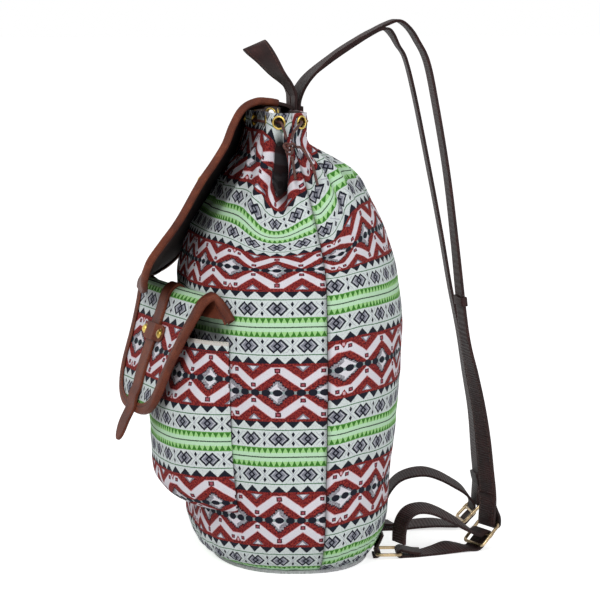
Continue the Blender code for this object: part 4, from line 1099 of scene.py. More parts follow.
def add_panel(name, start, stop, look, pull):
    """One side panel of the sack, between the seams at two angles."""
    columns, rows = PANEL_COLUMNS, PANEL_ROWS
    uvs = panel_maps(start, stop, columns, rows, pull)
    low = SACK_LEVELS[0][0]
    tuck = math.degrees(SEAM_TUCK / SACK_LEVELS[0][1])

    def surface(u, v):
        degrees = start + tuck + (stop - start - 2 * tuck) * u
        return sack_cloth(degrees, low + (CLOTH_TOP - low) * v)

    def measure(u, v):
        return uvs[round(u * columns)][round(v * rows)]

    def crease(u, v):
        """Painted shade in the seams and folds, and a painted shadow where the pocket flap keeps
        the light away.
        """
        degrees, z = start + (stop - start) * u, low + (CLOTH_TOP - low) * v
        point = sack(degrees, z)
        seam = SEAM_SHADE * math.exp(-(min(u, 1 - u) * columns / 2.5) ** 2)
        small = FOLD_SHADE * min(max(-wrinkle(degrees, z, point) / 0.0075 - 0.25, 0.0), 1.0)
        side = angle_from(degrees, 0)
        under = FLAP_SHADE * bump_between(*SHADE_SIDE, side) * bump_between(*SHADE_SPAN, z)
        half = 3.4 + 1.6 * smooth_step(0.325, 0.365, z)
        fold = CLEFT_SHADE * fold_share(degrees + 3.8, z, half) - 0.20
        return max(fold, small, seam, under, 0.0)

    return grid_sheet(name, surface, evenly(columns), evenly(rows), PANEL_CLOTH, [look, LINING],
                      measure, offset=-1.0, rim=0.0, crease=crease)


front = add_panel("front_cloth", 180 - SEAM_ANGLE, 360 + SEAM_ANGLE, FRONT_PRINT, FRONT_PULL)
take_place(front, "printed_canvas", "front_panel")
back = add_panel("back_cloth", SEAM_ANGLE, 180 - SEAM_ANGLE, BACK_PRINT, BACK_PULL)
take_place(back, "printed_canvas", "back_panel")
print("panel faces:", len(front.data.polygons), len(back.data.polygons))

# %% [markdown]
# ## Eyelets
#
# A brass eyelet is a short tube whose end is rolled over the cloth. Its section is drawn
# once, from the bore over the rolled lip to the flange's edge, and spun about its axis.

# %% Holes and eyelets
EYELET_BORE = 0.0044
EYELET_FLANGE = 0.0061
CLOTH_HOLE = 0.0051


def place_on(point, normal, along):
    """Matrix with local Z on the normal and local X near the direction along."""
    z = normal.normalized()
    x = (along - z * along.dot(z)).normalized()
    turned = Matrix((x, z.cross(x), z)).transposed().to_4x4()
    turned.translation = point
    return turned


def spun(bm, profile, steps, place):
    """Makes a body of revolution about local Z, from (radius, height) pairs."""
    verts = [bm.verts.new((r, 0.0, z)) for r, z in profile]
    edges = [bm.edges.new(pair) for pair in zip(verts, verts[1:])]
    if profile[0][0] > 0:
        edges.append(bm.edges.new((verts[-1], verts[0])))
    bmesh.ops.spin(bm, geom=verts + edges, cent=(0, 0, 0), axis=(0, 0, 1), angle=math.tau,
                   steps=steps, use_merge=True)
    bmesh.ops.transform(bm, matrix=place, verts=bm.verts)


def finish_metal(name, bm, look=BRASS):
    bmesh.ops.remove_doubles(bm, verts=bm.verts, dist=1e-6)
    bmesh.ops.recalc_face_normals(bm, faces=bm.faces)
    thing = add_mesh(name, bm, [look])
    return settle(thing, 35)


def lip_profile():
    """Section of an eyelet: straight bore, rolled lips, flat flanges on both faces."""
    half = CLOTH / 2 + EYELET_STAND
    top = half + EYELET_LIP
    roll = [(EYELET_BORE + 0.0005 * (1 - math.cos(a)), top - 0.0006 + 0.0006 * math.sin(a))
            for a in (0, 0.5, 1.0, 1.57)]
    front_face = roll + [(EYELET_FLANGE - 0.0004, top - 0.00015), (EYELET_FLANGE, top - 0.0005),
                         (EYELET_FLANGE, half), (0.0049, half)]
    behind = [(r, -z) for r, z in reversed(front_face)]
    return front_face + behind


def add_eyelets():
    for k, degrees in enumerate(EYELET_ANGLES, 1):
        centre, normal, along = eyelet_seat(degrees)
        bm = bmesh.new()
        spun(bm, lip_profile(), 28, place_on(centre, normal, along))
        thing = finish_metal(f"brass_eyelet_{k:02d}", bm)
        take_place(thing, "gold_metal", f"eyelet_{k:02d}")


def cut_holes(*panels):
    """Cuts the eyelet holes through the cloth with one Boolean for each panel."""
    bm = bmesh.new()
    for degrees in EYELET_ANGLES:
        centre, normal, along = eyelet_seat(degrees)
        bmesh.ops.create_cone(bm, cap_ends=True, segments=20, radius1=CLOTH_HOLE,
                              radius2=CLOTH_HOLE, depth=0.010,
                              matrix=place_on(centre, normal, along))
    punch = add_mesh("eyelet_punch", bm, [LINING])
    for panel in panels:
        holes = panel.modifiers.new("eyelet_holes", "BOOLEAN")
        holes.operation = "DIFFERENCE"
        holes.solver = "EXACT"
        holes.object = punch
        settle(panel, 60)
    bpy.data.objects.remove(punch)


cut_holes(front, back)
add_eyelets()
print("eyelets:", len(EYELET_ANGLES))

# %% [markdown]
# ## The front pocket
#
# The pocket is a patch of the same cotton, gathered at its bottom corners so that it
# bellies out. A hem with its stitches is painted along the mouth and the sides. The print
# on it is level, but was cut a little higher than the print behind it.

# %% Pocket
POCKET_CENTRE = 0.022
POCKET_HALF = 0.088
POCKET_BOTTOM = 0.056
POCKET_TOP = 0.204
POCKET_SWELL = 0.028
POCKET_CURVE = 0.024
MOUTH_FLAT, MOUTH_FROM = 0.58, 0.135
POCKET_RIPPLE = 0.0012


def pocket_surface(u, v):
    """Middle of the pocket's cloth: u across it, v from its bottom to its open mouth."""
    share = 2 * u - 1
    z = POCKET_BOTTOM + (POCKET_TOP - POCKET_BOTTOM) * v
    rise = min((z - POCKET_BOTTOM) / POCKET_CURVE, 1.0)
    floor = math.sqrt(1 - (1 - rise) ** 2)
    mouth = 1 - MOUTH_FLAT * smooth_step(MOUTH_FROM, POCKET_TOP, z)
    swell = POCKET_SWELL * (1 - share ** 4) * floor * mouth
    return on_sack(POCKET_CENTRE + share * POCKET_HALF, z, GAP + CLOTH / 2 + swell)


def pocket_cloth(u, v):
    """The pocket with its puckers along the sewn sides and bottom."""
    point = pocket_surface(u, v)
    free = min(u, 1 - u, v) * 8
    ripple = POCKET_RIPPLE * noise.noise(Vector((u * 7, v * 9, 3.0))) * min(free, 1.0)
    return point + normal_of(pocket_surface, u, v) * ripple


pocket_u, pocket_v = evenly(96), evenly(80)
pocket = grid_sheet("pocket_cloth", pocket_cloth, pocket_u, pocket_v, PANEL_CLOTH,
                    [POCKET_PRINT, LINING], arc_measure(pocket_surface, pocket_u, pocket_v))
take_place(pocket, "printed_canvas", "pocket")
print("pocket, mm:", [round(1000 * x) for x in pocket.dimensions])

# %% [markdown]
# ## Pocket flap and lid
#
# Both flaps are a layer of print with a lining, so their grid gets two materials: Solidify
# gives the second one to the inner side. The flap rises from its seam, folds over a crease
# and hangs clear of the pocket. The lid starts behind the neck, lies over the mouth and
# falls down the front.

# %% Flap surface
FLAP_CLOTH = 0.0026
FLAP_YAW = math.radians(12.0)
FLAP_HALF = 0.079
FLAP_CREASE = Vector((0.022, -0.106, 0.242))
FLAP_PROFILE = (
    (0.00, -0.0060, -0.0190), (0.08, -0.0040, -0.0080), (0.16, 0.0010, 0.0000),
    (0.22, 0.0070, -0.0050), (0.34, 0.0125, -0.0200), (0.50, 0.0195, -0.0400),
    (0.76, 0.0320, -0.0760), (1.00, 0.0400, -0.1080),
)
FLAP_CREASE_SHARE = 0.16
FLAP_TAPER, FLAP_WAIST = 0.1, 0.16
FLAP_TIP = 0.9985
ROOT_HALF, ROOT_SPARE = 0.084, 0.008
ROOT_HEIGHT, ROOT_RISE, ROOT_LIFT = 0.223, 0.014, 0.0036
CORNER_PULL = Vector((0.0055, 0.0065, 0))


def flap_half(s):
    """Half width of the pocket flap at share s of its length from the crease."""
    s = min(max(s, 0.0), 1.0)
    narrowed = 1 - FLAP_TAPER * s - FLAP_WAIST * math.sin(math.pi * s)
    return FLAP_HALF * (1 - s ** 3) ** (1 / 3) * narrowed


def flap_surface(u, v):
    """Middle of the pocket flap: u across it, v from its seam over the crease to its tip."""
    h, dz = smooth_between(FLAP_PROFILE, v)
    across = Vector((math.cos(FLAP_YAW), math.sin(FLAP_YAW), 0))
    outward = Vector((math.sin(FLAP_YAW), -math.cos(FLAP_YAW), 0))
    share = 2 * u - 1
    s = (v - FLAP_CREASE_SHARE) / (1 - FLAP_CREASE_SHARE)
    near = max(share, 0.0) ** 2 * (1 - min(max(s, 0.0), 1.0)) ** 2
    hanging = FLAP_CREASE + across * share * flap_half(s) + outward * h + Vector((0, 0, dz))
    hanging += CORNER_PULL * near
    if v >= FLAP_CREASE_SHARE:
        return hanging
    reach = share * (ROOT_HALF + ROOT_SPARE * max(share, 0.0))
    root = on_sack(FLAP_CREASE.x + reach, ROOT_HEIGHT, ROOT_LIFT)
    root.z += ROOT_RISE * v / FLAP_CREASE_SHARE
    return root.lerp(hanging, smooth_step(0, FLAP_CREASE_SHARE, v))


# %% Lid surface
LID_CLOTH = 0.0028
LID_STATIONS = (
    (-0.0023, 0.3790, 0.0200, 0.0, 0.0000), (-0.0023, 0.3950, 0.0210, 0.0, 0.0000),
    (-0.0075, 0.3996, 0.0270, 2.0, 0.0000), (-0.0180, 0.4010, 0.0350, 4.0, 0.0000),
    (-0.0280, 0.4012, 0.0440, 5.5, 0.0000), (-0.0370, 0.3990, 0.0550, 7.8, 0.0000),
    (-0.0450, 0.3922, 0.0660, 10.2, 0.0000), (-0.0500, 0.3800, 0.0745, 12.2, 0.0010),
    (-0.0568, 0.3627, 0.0815, 12.4, 0.0015), (-0.0682, 0.3441, 0.0845, 12.7, 0.0020),
    (-0.0788, 0.3282, 0.0860, 12.9, 0.0020), (-0.0965, 0.2982, 0.0875, 13.2, 0.0030),
    (-0.1095, 0.2757, 0.0860, 14.5, 0.0020), (-0.1240, 0.2590, 0.0770, 12.8, 0.0010),
    (-0.1322, 0.2480, 0.0560, 8.0, 0.0005), (-0.1350, 0.2375, 0.0160, 0.0, 0.0000),
)


def lid_surface(u, v):
    """Middle of the lid: u across it, v from its root behind the neck to its tip."""
    d = 1e-3
    here = through(LID_STATIONS, v)
    ahead = through(LID_STATIONS, min(v + d, 1)) - through(LID_STATIONS, max(v - d, 0))
    way = Vector((ahead[0], ahead[1])).normalized()
    out = Vector((0, way.y, -way.x))
    roll = math.radians(here[3])
    across = Vector((math.cos(roll), 0, 0)) + out * math.sin(roll)
    share = 2 * u - 1
    return Vector((0, here[0], here[1])) + across * share * here[2] - out * here[4] * share ** 2


# %% Flap and lid cloth
def tip_marks(count, close):
    """Rows from the root to the tip, closer together towards the rounded tip."""
    return [close * (1 - (1 - k / count) ** 2.6) for k in range(count + 1)]


flap_u, flap_v = evenly(60), tip_marks(110, FLAP_TIP)
flap = grid_sheet("pocket_flap_cloth", flap_surface, flap_u, flap_v, FLAP_CLOTH,
                  [RUST, FLAP_PRINT], arc_measure(flap_surface, flap_u, flap_v))
take_place(flap, "printed_canvas", "pocket_flap")
lid_u, lid_v = evenly(60), tip_marks(120, 1.0)
lid = grid_sheet("lid_cloth", lid_surface, lid_u, lid_v, LID_CLOTH, [LID_LINING, LID_PRINT],
                 arc_measure(lid_surface, lid_u, lid_v))
take_place(lid, "printed_canvas", "lid")
print("flap and lid, mm:", [round(1000 * x) for x in (*flap.dimensions, *lid.dimensions)])

# %% [markdown]
# ## Leather bindings
#
# The free edges of both flaps are wrapped in a folded strip of leather. Its section is a
# narrow U. The strip is a sheet again: along the edge in one direction, and from its top
# hem round the lip to its bottom hem in the other.

# %% Rim of a flap
BINDING = 0.0011
BINDING_WIDTH = 0.0085
BINDING_SEAT = 0.0006
BINDING_SPREAD = 2.4 * BINDING_WIDTH


def rim_route(surface, sides, tip_v, tip_count):
    """Places (u, v) down the right edge, round the tip and up the left edge."""
    marks = [(1.0, v) for v in sides]
    marks += [(1 - k / tip_count, tip_v) for k in range(1, tip_count)]
    marks += [(0.0, v) for v in reversed(sides)]
    rows = []
    for u, v in marks:
        normal = normal_of(surface, min(max(u, 0.02), 0.98), min(v, 0.98))
        rows.append((surface(u, v), normal, surface(0.5, v)))
    return rows


def even_route(rows, count):
    """The route again, at even steps of its length."""
    lengths = [0.0]
    for a, b in zip(rows, rows[1:]):
        lengths.append(lengths[-1] + (b[0] - a[0]).length)
    made, k = [], 0
    for step in range(count + 1):
        at = lengths[-1] * step / count
        while k < len(rows) - 2 and lengths[k + 1] < at:
            k += 1
        share = (at - lengths[k]) / max(lengths[k + 1] - lengths[k], 1e-9)
        made.append(tuple(a.lerp(b, share) for a, b in zip(rows[k], rows[k + 1])))
    return made, lengths[-1]


def add_binding(name, surface, thickness, sides, tip_v, tip_count, node):
    """Folded strip round a free edge. Its outward side stays the same all along the route."""
    rows, length = even_route(rim_route(surface, sides, tip_v, tip_count), 220)
    seat = thickness / 2 + BINDING_SEAT + BINDING / 2
    bend = BINDING_SEAT + BINDING / 2
    flat = BINDING_WIDTH - 0.0006
    section = [(-flat, seat), (-flat * 0.66, seat * 1.12), (-flat * 0.33, seat * 1.14),
               (0.0, seat)]
    section += [(bend * math.sin(a), seat * math.cos(a)) for a in (0.45, 0.9, 1.57, 2.24, 2.69)]
    section += [(x, -h) for x, h in reversed(section[:4])]
    frames, hand = [], 0
    for k, (edge, up, centre) in enumerate(rows):
        along = (rows[min(k + 3, len(rows) - 1)][0] - rows[max(k - 3, 0)][0]).normalized()
        out = along.cross(up).normalized()
        hand = hand or (1 if out.dot(edge - centre) >= 0 else -1)
        frames.append((edge, up, out * hand))
    steps = len(section) - 1

    def strip(u, v):
        edge, up, out = frames[round(v * (len(frames) - 1))]
        x, h = section[round(u * steps)]
        return edge + out * x + up * h

    def measure(u, v):
        return (u - 0.5) * BINDING_SPREAD, v * length

    thing = grid_sheet(name, strip, evenly(steps), evenly(len(frames) - 1), BINDING * 0.9,
                       [BINDING_LEATHER], measure, rim=0.0003)
    return take_place(thing, "rust_leather", node)


BINDING_LEATHER = leather("rust_leather_binding", RUST_TONES, BINDING_SPREAD, srgb(60, 28, 22))
flap_binding = add_binding("pocket_flap_edge", flap_surface, FLAP_CLOTH, flap_v, FLAP_TIP, 12,
                           "pocket_flap_binding")
lid_sides = [0.2 + 0.8 * k / 100 for k in range(101)]
lid_binding = add_binding("lid_edge", lid_surface, LID_CLOTH, lid_sides, 1.0, 20, "lid_binding")
print("bindings done")

# %% [markdown]
# ## Straps on the flaps, with riveted keepers
#
# A strap runs down the middle of each flap, and a short leather bar with a domed rivet at
# each end holds it. Straps are flat strips whose middle line is laid a set height over the
# flap, so they follow it without touching.

# %% Strap strips
STRAP = 0.0024
KEEPER = 0.0018
RIVET_RADIUS = 0.0044
RIVET_HEIGHT = 0.0032


def laid_on(surface, lift, v):
    """Point, way across and way out on the middle line of a sheet, lifted off its middle."""
    across = (surface(0.51, v) - surface(0.49, v)).normalized()
    out = -normal_of(surface, 0.5, v)
    return surface(0.5, v) + out * lift, across, out


def add_strip(name, stations, width, thickness, look, slot, node, ends=0.0):
    """Flat strap through (point, way of its width) stations. ends rounds its last end."""
    points, ways = zip(*stations)
    steps = 8 * (len(stations) - 1)
    length = length_of(smooth_run(points, steps))

    def strip(u, v):
        left = (1 - v) * length
        narrow = 1.0
        if ends and left < ends:
            narrow = math.sqrt(max(1 - (1 - left / ends) ** 2, 0.02))
        return through(points, v) + through(ways, v).normalized() * (u - 0.5) * width * narrow

    def measure(u, v):
        return (u - 0.5) * width, v * length

    thing = grid_sheet(name, strip, evenly(8), evenly(steps), thickness, [look], measure,
                       rim=0.0006)
    return take_place(thing, slot, node)


def add_keeper(name, surface, thickness, strap_width, rows, prefix):
    """Leather bar that humps over the strap, with a domed brass rivet at each end."""
    low = thickness / 2 + GAP + KEEPER / 2
    ramp = strap_width / 2 + 0.0042
    half = ramp + 2 * RIVET_RADIUS + 0.0014
    first, across, out = laid_on(surface, low, rows[0])
    last = laid_on(surface, low, rows[1])[0]
    height = (last - first).length

    def bar(u, w):
        x = (2 * u - 1) * half
        hump = 1 - smooth_step(strap_width / 2, ramp, abs(x))
        end = max(abs(x) - (half - height / 2), 0.0) / (height / 2)
        narrow = math.sqrt(max(1 - 0.75 * end * end, 0.05))
        return (first.lerp(last, 0.5 + (w - 0.5) * narrow) + across * x
                + out * (STRAP + GAP + 0.0006) * hump)

    def measure(u, w):
        return (2 * u - 1) * half, (w - 0.5) * height

    thing = grid_sheet(name, bar, evenly(48), evenly(8), KEEPER, [RUST], measure, rim=0.0005)
    take_place(thing, "rust_leather", prefix + "_keeper")
    off = (last - first).cross(across).normalized()
    off = off if off.dot(out) > 0 else -off
    for sign, side in ((1, "right"), (-1, "left")):
        x = sign * (half - RIVET_RADIUS - 0.0007)
        spot = first.lerp(last, 0.5) + across * x + off * (KEEPER / 2 + GAP)
        bm = bmesh.new()
        spun(bm, rivet_profile(), 32, place_on(spot, off, across))
        rivet = finish_metal(f"{prefix}_dome_{side}", bm)
        take_place(rivet, "gold_metal", f"{prefix}_rivet_{side}")


def rivet_profile():
    """Half section of a domed rivet: a dome on a thin rim, with a closed foot."""
    dome = [(0.0, RIVET_HEIGHT)]
    dome += [(0.86 * RIVET_RADIUS * math.sin(a), 0.0008 + 0.0024 * math.cos(a))
             for a in (0.3, 0.6, 0.9, 1.2, 1.45)]
    return dome + [(RIVET_RADIUS, 0.0008), (RIVET_RADIUS, 0.0), (0.0, 0.0)]


# %% Strap of the pocket flap
FLAP_STRAP_WIDTH = 0.020
FLAP_STRAP_ROWS = (0.13, 0.16, 0.19, 0.22, 0.27, 0.34, 0.44, 0.55, 0.64, 0.75, 0.84, 0.90, 0.94,
                   0.985)
FLAP_STRAP_TAIL = ((-0.0010, -0.0060, -0.0130), (-0.0020, -0.0115, -0.0290))


def flap_strap_stations():
    lift = FLAP_CLOTH / 2 + GAP + STRAP / 2
    stations = []
    for v in FLAP_STRAP_ROWS:
        climb = BINDING_SEAT + BINDING if v > 0.88 else 0.0
        stations.append(laid_on(flap_surface, lift + climb, v)[:2])
    end = stations[-1][0]
    return stations + [(end + Vector(p), stations[-1][1]) for p in FLAP_STRAP_TAIL]


add_strip("pocket_flap_strap", flap_strap_stations(), FLAP_STRAP_WIDTH, STRAP, RUST_STRAP,
          "rust_leather", "pocket_strap", ends=0.010)
add_keeper("pocket_strap_keeper", flap_surface, FLAP_CLOTH, FLAP_STRAP_WIDTH, (0.44, 0.55),
           "pocket")

# %% Strap of the lid
LID_STRAP_WIDTH = 0.020
LID_KEEPER_ROWS = (0.640, 0.670)
LID_STRAP_ROWS = (0.375, 0.417, 0.5, 0.583, *LID_KEEPER_ROWS, 0.75, 0.79, 0.833, 0.875)


def lid_strap_stations():
    lift = LID_CLOTH / 2 + GAP + 0.0004 + STRAP / 2
    return [laid_on(lid_surface, lift, v)[:2] for v in LID_STRAP_ROWS]


add_strip("lid_middle_strap", lid_strap_stations(), LID_STRAP_WIDTH, STRAP, RUST_STRAP,
          "rust_leather", "lid_strap", ends=0.010)
add_keeper("lid_strap_keeper", lid_surface, LID_CLOTH, LID_STRAP_WIDTH, LID_KEEPER_ROWS, "lid")
print("flap straps done")

# %% [markdown]
# ## Shoulder straps, handle and lower straps
#
# Handle and straps are sewn in one stack behind the neck. Each strap stands up from there,
# turns over in a wide arc and falls behind the bag to its slide on the floor. The lower
# strap comes from a ring at the bottom seam, turns round the slide's bar and ends in a
# free tail.

# %% Routes of the straps
STACK = (0.0, 0.0006, 0.0033, 0.0058)
STACK_BOTTOM = 0.3785
STRAP_WIDTH = 0.024
STRAP_RIGHT = (
    (0.0127, STACK[2], STACK_BOTTOM, 0), (0.0127, STACK[2], 0.3990, 0),
    (0.0130, 0.0048, 0.4080, 0), (0.0140, 0.0092, 0.4180, 0), (0.0160, 0.0165, 0.4280, 0),
    (0.0180, 0.0320, 0.4430, 0), (0.0220, 0.0490, 0.4550, 0), (0.0270, 0.0660, 0.4650, 0),
    (0.0320, 0.0800, 0.4725, 0), (0.0360, 0.0890, 0.4750, -1), (0.0400, 0.0970, 0.4690, -2),
    (0.0430, 0.1040, 0.4580, -2), (0.0450, 0.1130, 0.4390, -2), (0.0475, 0.1205, 0.4020, -2),
    (0.0490, 0.1310, 0.3400, -2), (0.0500, 0.1390, 0.2750, 0), (0.0500, 0.1475, 0.2000, 4),
    (0.0480, 0.1560, 0.1620, 9), (0.0460, 0.1620, 0.1340, 13), (0.0440, 0.1670, 0.1050, 16),
    (0.0430, 0.1705, 0.0740, 18), (0.0420, 0.1730, 0.0480, 20),
)
STRAP_LEFT = (
    (-0.0127, STACK[2], STACK_BOTTOM, 0), (-0.0127, STACK[2], 0.3990, 0),
    (-0.0128, 0.0050, 0.4080, 2), (-0.0135, 0.0110, 0.4180, 5), (-0.0145, 0.0210, 0.4280, 9),
    (-0.0180, 0.0390, 0.4410, 10), (-0.0220, 0.0580, 0.4530, 10), (-0.0260, 0.0720, 0.4610, 9),
    (-0.0300, 0.0840, 0.4665, 7), (-0.0340, 0.0930, 0.4670, 4), (-0.0370, 0.0990, 0.4620, 0),
    (-0.0390, 0.1050, 0.4520, -4), (-0.0420, 0.1130, 0.4390, -6), (-0.0455, 0.1230, 0.4030, -6),
    (-0.0485, 0.1370, 0.3390, -6), (-0.0500, 0.1490, 0.2800, -6), (-0.0500, 0.1580, 0.2300, -6),
    (-0.0495, 0.1670, 0.1860, -5), (-0.0480, 0.1730, 0.1470, -4), (-0.0460, 0.1790, 0.1100, -2),
    (-0.0450, 0.1825, 0.0700, 0), (-0.0450, 0.1842, 0.0500, 0),
)
STRAP_RETURN = ((0.0028, 0.0060), (-0.0002, 0.0125), (-0.0028, 0.0190), (-0.0046, 0.0270))
SLIDE_TILT = math.radians(45.0)
SLIDE_INNER = 0.0265
SLIDE_LENGTH = 0.0250
BAR = 0.0015
WIRE_CORNER = 0.0035
SLIDE_BAR = 0.0012
CRIMP_HALF, CRIMP_RADIUS = 0.0022, 0.0019
RING_LENGTH = 0.0215
BEND_CLEAR = 0.0005
SLIDE_RIGHT = (Vector((0.0410, 0.1675, 0.0148)), 20.0)
SLIDE_LEFT = (Vector((-0.0450, 0.1775, 0.0175)), 0.0)


def turned_way(degrees, tilt=0.0):
    """Horizontal direction turned from +X, its +X end dropped by the tilt."""
    a, b = math.radians(degrees), math.radians(tilt)
    return Vector((math.cos(a) * math.cos(b), math.sin(a) * math.cos(b), -math.sin(b)))


def slide_place(centre, yaw, s, n):
    """Point of a slide's side view: s up along its length, n off its face."""
    a = math.radians(yaw)
    level = Vector((-math.sin(a), math.cos(a), 0))
    up = Vector((0, 0, 1))
    return (centre + s * (level * math.cos(SLIDE_TILT) + up * math.sin(SLIDE_TILT))
            + n * (up * math.cos(SLIDE_TILT) - level * math.sin(SLIDE_TILT)))


def wrapped(bar, level, wrap, angles, wide):
    """Stations of a strap round a bar, by their angles in the side view."""
    turns = [math.radians(degrees) for degrees in angles]
    return [(bar + level * wrap * math.cos(a) + Vector((0, 0, wrap * math.sin(a))), wide)
            for a in turns]


def strap_stations(route, centre, yaw):
    """The strap's route, its wrap round the slide's upper bar and the sewn return."""
    stations = [(Vector(point), turned_way(turn)) for *point, turn in route]
    bar = slide_place(centre, yaw, SLIDE_LENGTH / 2, 0)
    wide = turned_way(yaw)
    level = Vector((-wide.y, wide.x, 0))
    wrap = BAR + BEND_CLEAR + STRAP / 2
    stations += wrapped(bar, level, wrap, (180, 225, 270, 315, 360), wide)
    return stations + [(bar + level * out + Vector((0, 0, up)), wide) for out, up in STRAP_RETURN]


# %% Shoulder straps and the keeper band
BAND_HEIGHT = 0.008
BAND_CLOTH = 0.0012
BAND_SHARE = 0.52
right_stations = strap_stations(STRAP_RIGHT, *SLIDE_RIGHT)
add_strip("shoulder_strap_near", right_stations, STRAP_WIDTH, STRAP, BROWN_STRAP, "dark_leather",
          "shoulder_strap_right")
add_strip("shoulder_strap_far", strap_stations(STRAP_LEFT, *SLIDE_LEFT), STRAP_WIDTH, STRAP,
          BROWN_STRAP, "dark_leather", "shoulder_strap_left")


def add_strap_band(stations, share):
    """Closed leather band round a strap: a loop with four rounded corners."""
    points, ways = zip(*stations)
    centre = through(points, share)
    wide = through(ways, share).normalized()
    down = (through(points, share + 0.01) - through(points, share - 0.01)).normalized()
    out = wide.cross(down)
    a, b = STRAP_WIDTH / 2 + BEND_CLEAR, STRAP / 2 + BEND_CLEAR
    loop = []
    for sx, sy, first in ((1, 1, 0), (-1, 1, 90), (-1, -1, 180), (1, -1, 270)):
        for step in range(4):
            turn = math.radians(first + 30 * step)
            loop.append((sx * (a - 0.0008) + 0.0014 * math.cos(turn),
                         sy * (b - 0.0002) + 0.0008 * math.sin(turn)))
    loop.append(loop[0])

    def band(u, v):
        x, y = loop[round(u * (len(loop) - 1))]
        return centre + wide * x + out * y + down * (v - 0.5) * BAND_HEIGHT

    thing = grid_sheet("strap_band", band, evenly(len(loop) - 1), evenly(4), BAND_CLOTH, [BROWN],
                       lambda u, v: (u * 0.06, v * BAND_HEIGHT), rim=0.0003)
    take_place(thing, "dark_leather", "strap_keeper_right")


add_strap_band(right_stations, BAND_SHARE)

# %% Grab handle and anchor plate
HANDLE_WIDTH = 0.022
PLATE = (0.050, 0.0020, 0.0215)
HANDLE_HALF = (
    (0.0130, STACK[1], STACK_BOTTOM, 0.0), (0.0130, STACK[1], 0.4045, 0.0),
    (0.0138, -0.0010, 0.4120, 4.0), (0.0150, -0.0060, 0.4200, 10.0),
    (0.0155, -0.0145, 0.4290, 22.0), (0.0140, -0.0240, 0.4420, 42.0),
    (0.0080, -0.0310, 0.4505, 70.0), (0.0000, -0.0330, 0.4530, 90.0),
)


def handle_stations():
    """Half of the loop, then its mirror image. The leather turns over at the top."""
    half = []
    for x, y, z, turn in HANDLE_HALF:
        c, s = math.cos(math.radians(turn)), math.sin(math.radians(turn))
        half.append((Vector((x, y, z)), Vector((c, 0.92 * s, 0.39 * s))))
    mirror = Vector((-1, 1, 1))
    return half + [(p * mirror, w * mirror) for p, w in reversed(half[:-1])]


def add_anchor_plate():
    bm = bmesh.new()
    bmesh.ops.create_cube(bm, size=1.0)
    bmesh.ops.scale(bm, verts=bm.verts, vec=PLATE)
    bmesh.ops.bevel(bm, geom=bm.edges, offset=0.0006, affect="EDGES", segments=3, profile=0.5,
                    material=-1)
    bmesh.ops.translate(bm, verts=bm.verts, vec=(0, STACK[3], STACK_BOTTOM + PLATE[2] / 2))
    plate = settle(add_mesh("anchor_plate", bm, [BROWN]), 40)
    take_place(plate, "dark_leather", "strap_anchor_patch")


HANDLE_LEATHER = leather("dark_leather_handle", BROWN_TONES, HANDLE_WIDTH, srgb(80, 52, 46))
add_strip("top_handle", handle_stations(), HANDLE_WIDTH, STRAP, HANDLE_LEATHER, "dark_leather",
          "grab_handle")
add_anchor_plate()

# %% Wire slides and rings
def bent_wire(bm, centre, across, along, length):
    """Closed wire rectangle: a circle of edges that is extruded and spun at each corner."""
    normal = across.cross(along)
    half_x, half_y, corner = SLIDE_INNER / 2 + BAR, length / 2, WIRE_CORNER
    first = centre + across * (half_x - corner) - along * half_y
    made = bmesh.ops.create_circle(bm, segments=14, radius=BAR,
                                   matrix=place_on(first, -across, normal))
    ring = list({edge for vert in made["verts"] for edge in vert.link_edges})
    ways = (-across, along, across, -along)
    turns = ((-half_x + corner, -half_y + corner), (-half_x + corner, half_y - corner),
             (half_x - corner, half_y - corner), (half_x - corner, -half_y + corner))
    for way, (x, y) in zip(ways, turns):
        side = 2 * (half_x if abs(way.dot(across)) > 0.5 else half_y) - 2 * corner
        grown = bmesh.ops.extrude_edge_only(bm, edges=ring)["geom"]
        verts = [g for g in grown if isinstance(g, bmesh.types.BMVert)]
        bmesh.ops.translate(bm, verts=verts, vec=way * side)
        ring = [g for g in grown if isinstance(g, bmesh.types.BMEdge)]
        turned = bmesh.ops.spin(bm, geom=ring, cent=centre + across * x + along * y, axis=-normal,
                                angle=math.pi / 2, steps=6)
        ring = [g for g in turned["geom_last"] if isinstance(g, bmesh.types.BMEdge)]
    bmesh.ops.remove_doubles(bm, verts=bm.verts, dist=2e-5)


def straight_wire(bm, a, b, radius):
    way = (b - a).normalized()
    bmesh.ops.create_cone(bm, cap_ends=True, segments=12, radius1=radius, radius2=radius,
                          depth=(b - a).length,
                          matrix=place_on((a + b) / 2, way, way.orthogonal()))


def add_slide(name, node, centre, yaw):
    across = turned_way(yaw)
    along = (slide_place(centre, yaw, 1, 0) - centre).normalized()
    half_x = SLIDE_INNER / 2 + BAR
    bm = bmesh.new()
    bent_wire(bm, centre, across, along, SLIDE_LENGTH)
    straight_wire(bm, centre - across * half_x, centre + across * half_x, SLIDE_BAR)
    for side in (-1, 1):
        spot = centre + across * side * half_x
        straight_wire(bm, spot - along * CRIMP_HALF, spot + along * CRIMP_HALF, CRIMP_RADIUS)
    thing = finish_metal(name, bm, PALE_BRASS)
    take_place(thing, "gold_metal", node)


def ring_ways(ring):
    across = turned_way(math.copysign(8.0, -ring.x))
    return across, Vector((-across.y, across.x, 0))


def add_ring(name, node, centre):
    across, along = ring_ways(centre)
    bm = bmesh.new()
    bent_wire(bm, centre, across, along, RING_LENGTH)
    take_place(finish_metal(name, bm, PALE_BRASS), "gold_metal", node)


RING_RIGHT = Vector((0.0570, 0.0775, 0.0044))
RING_LEFT = Vector((-0.0560, 0.0775, 0.0044))
add_slide("slide_near", "slide_right", *SLIDE_RIGHT)
add_slide("slide_far", "slide_left", *SLIDE_LEFT)
add_ring("ring_near", "ring_right", RING_RIGHT)
add_ring("ring_far", "ring_left", RING_LEFT)

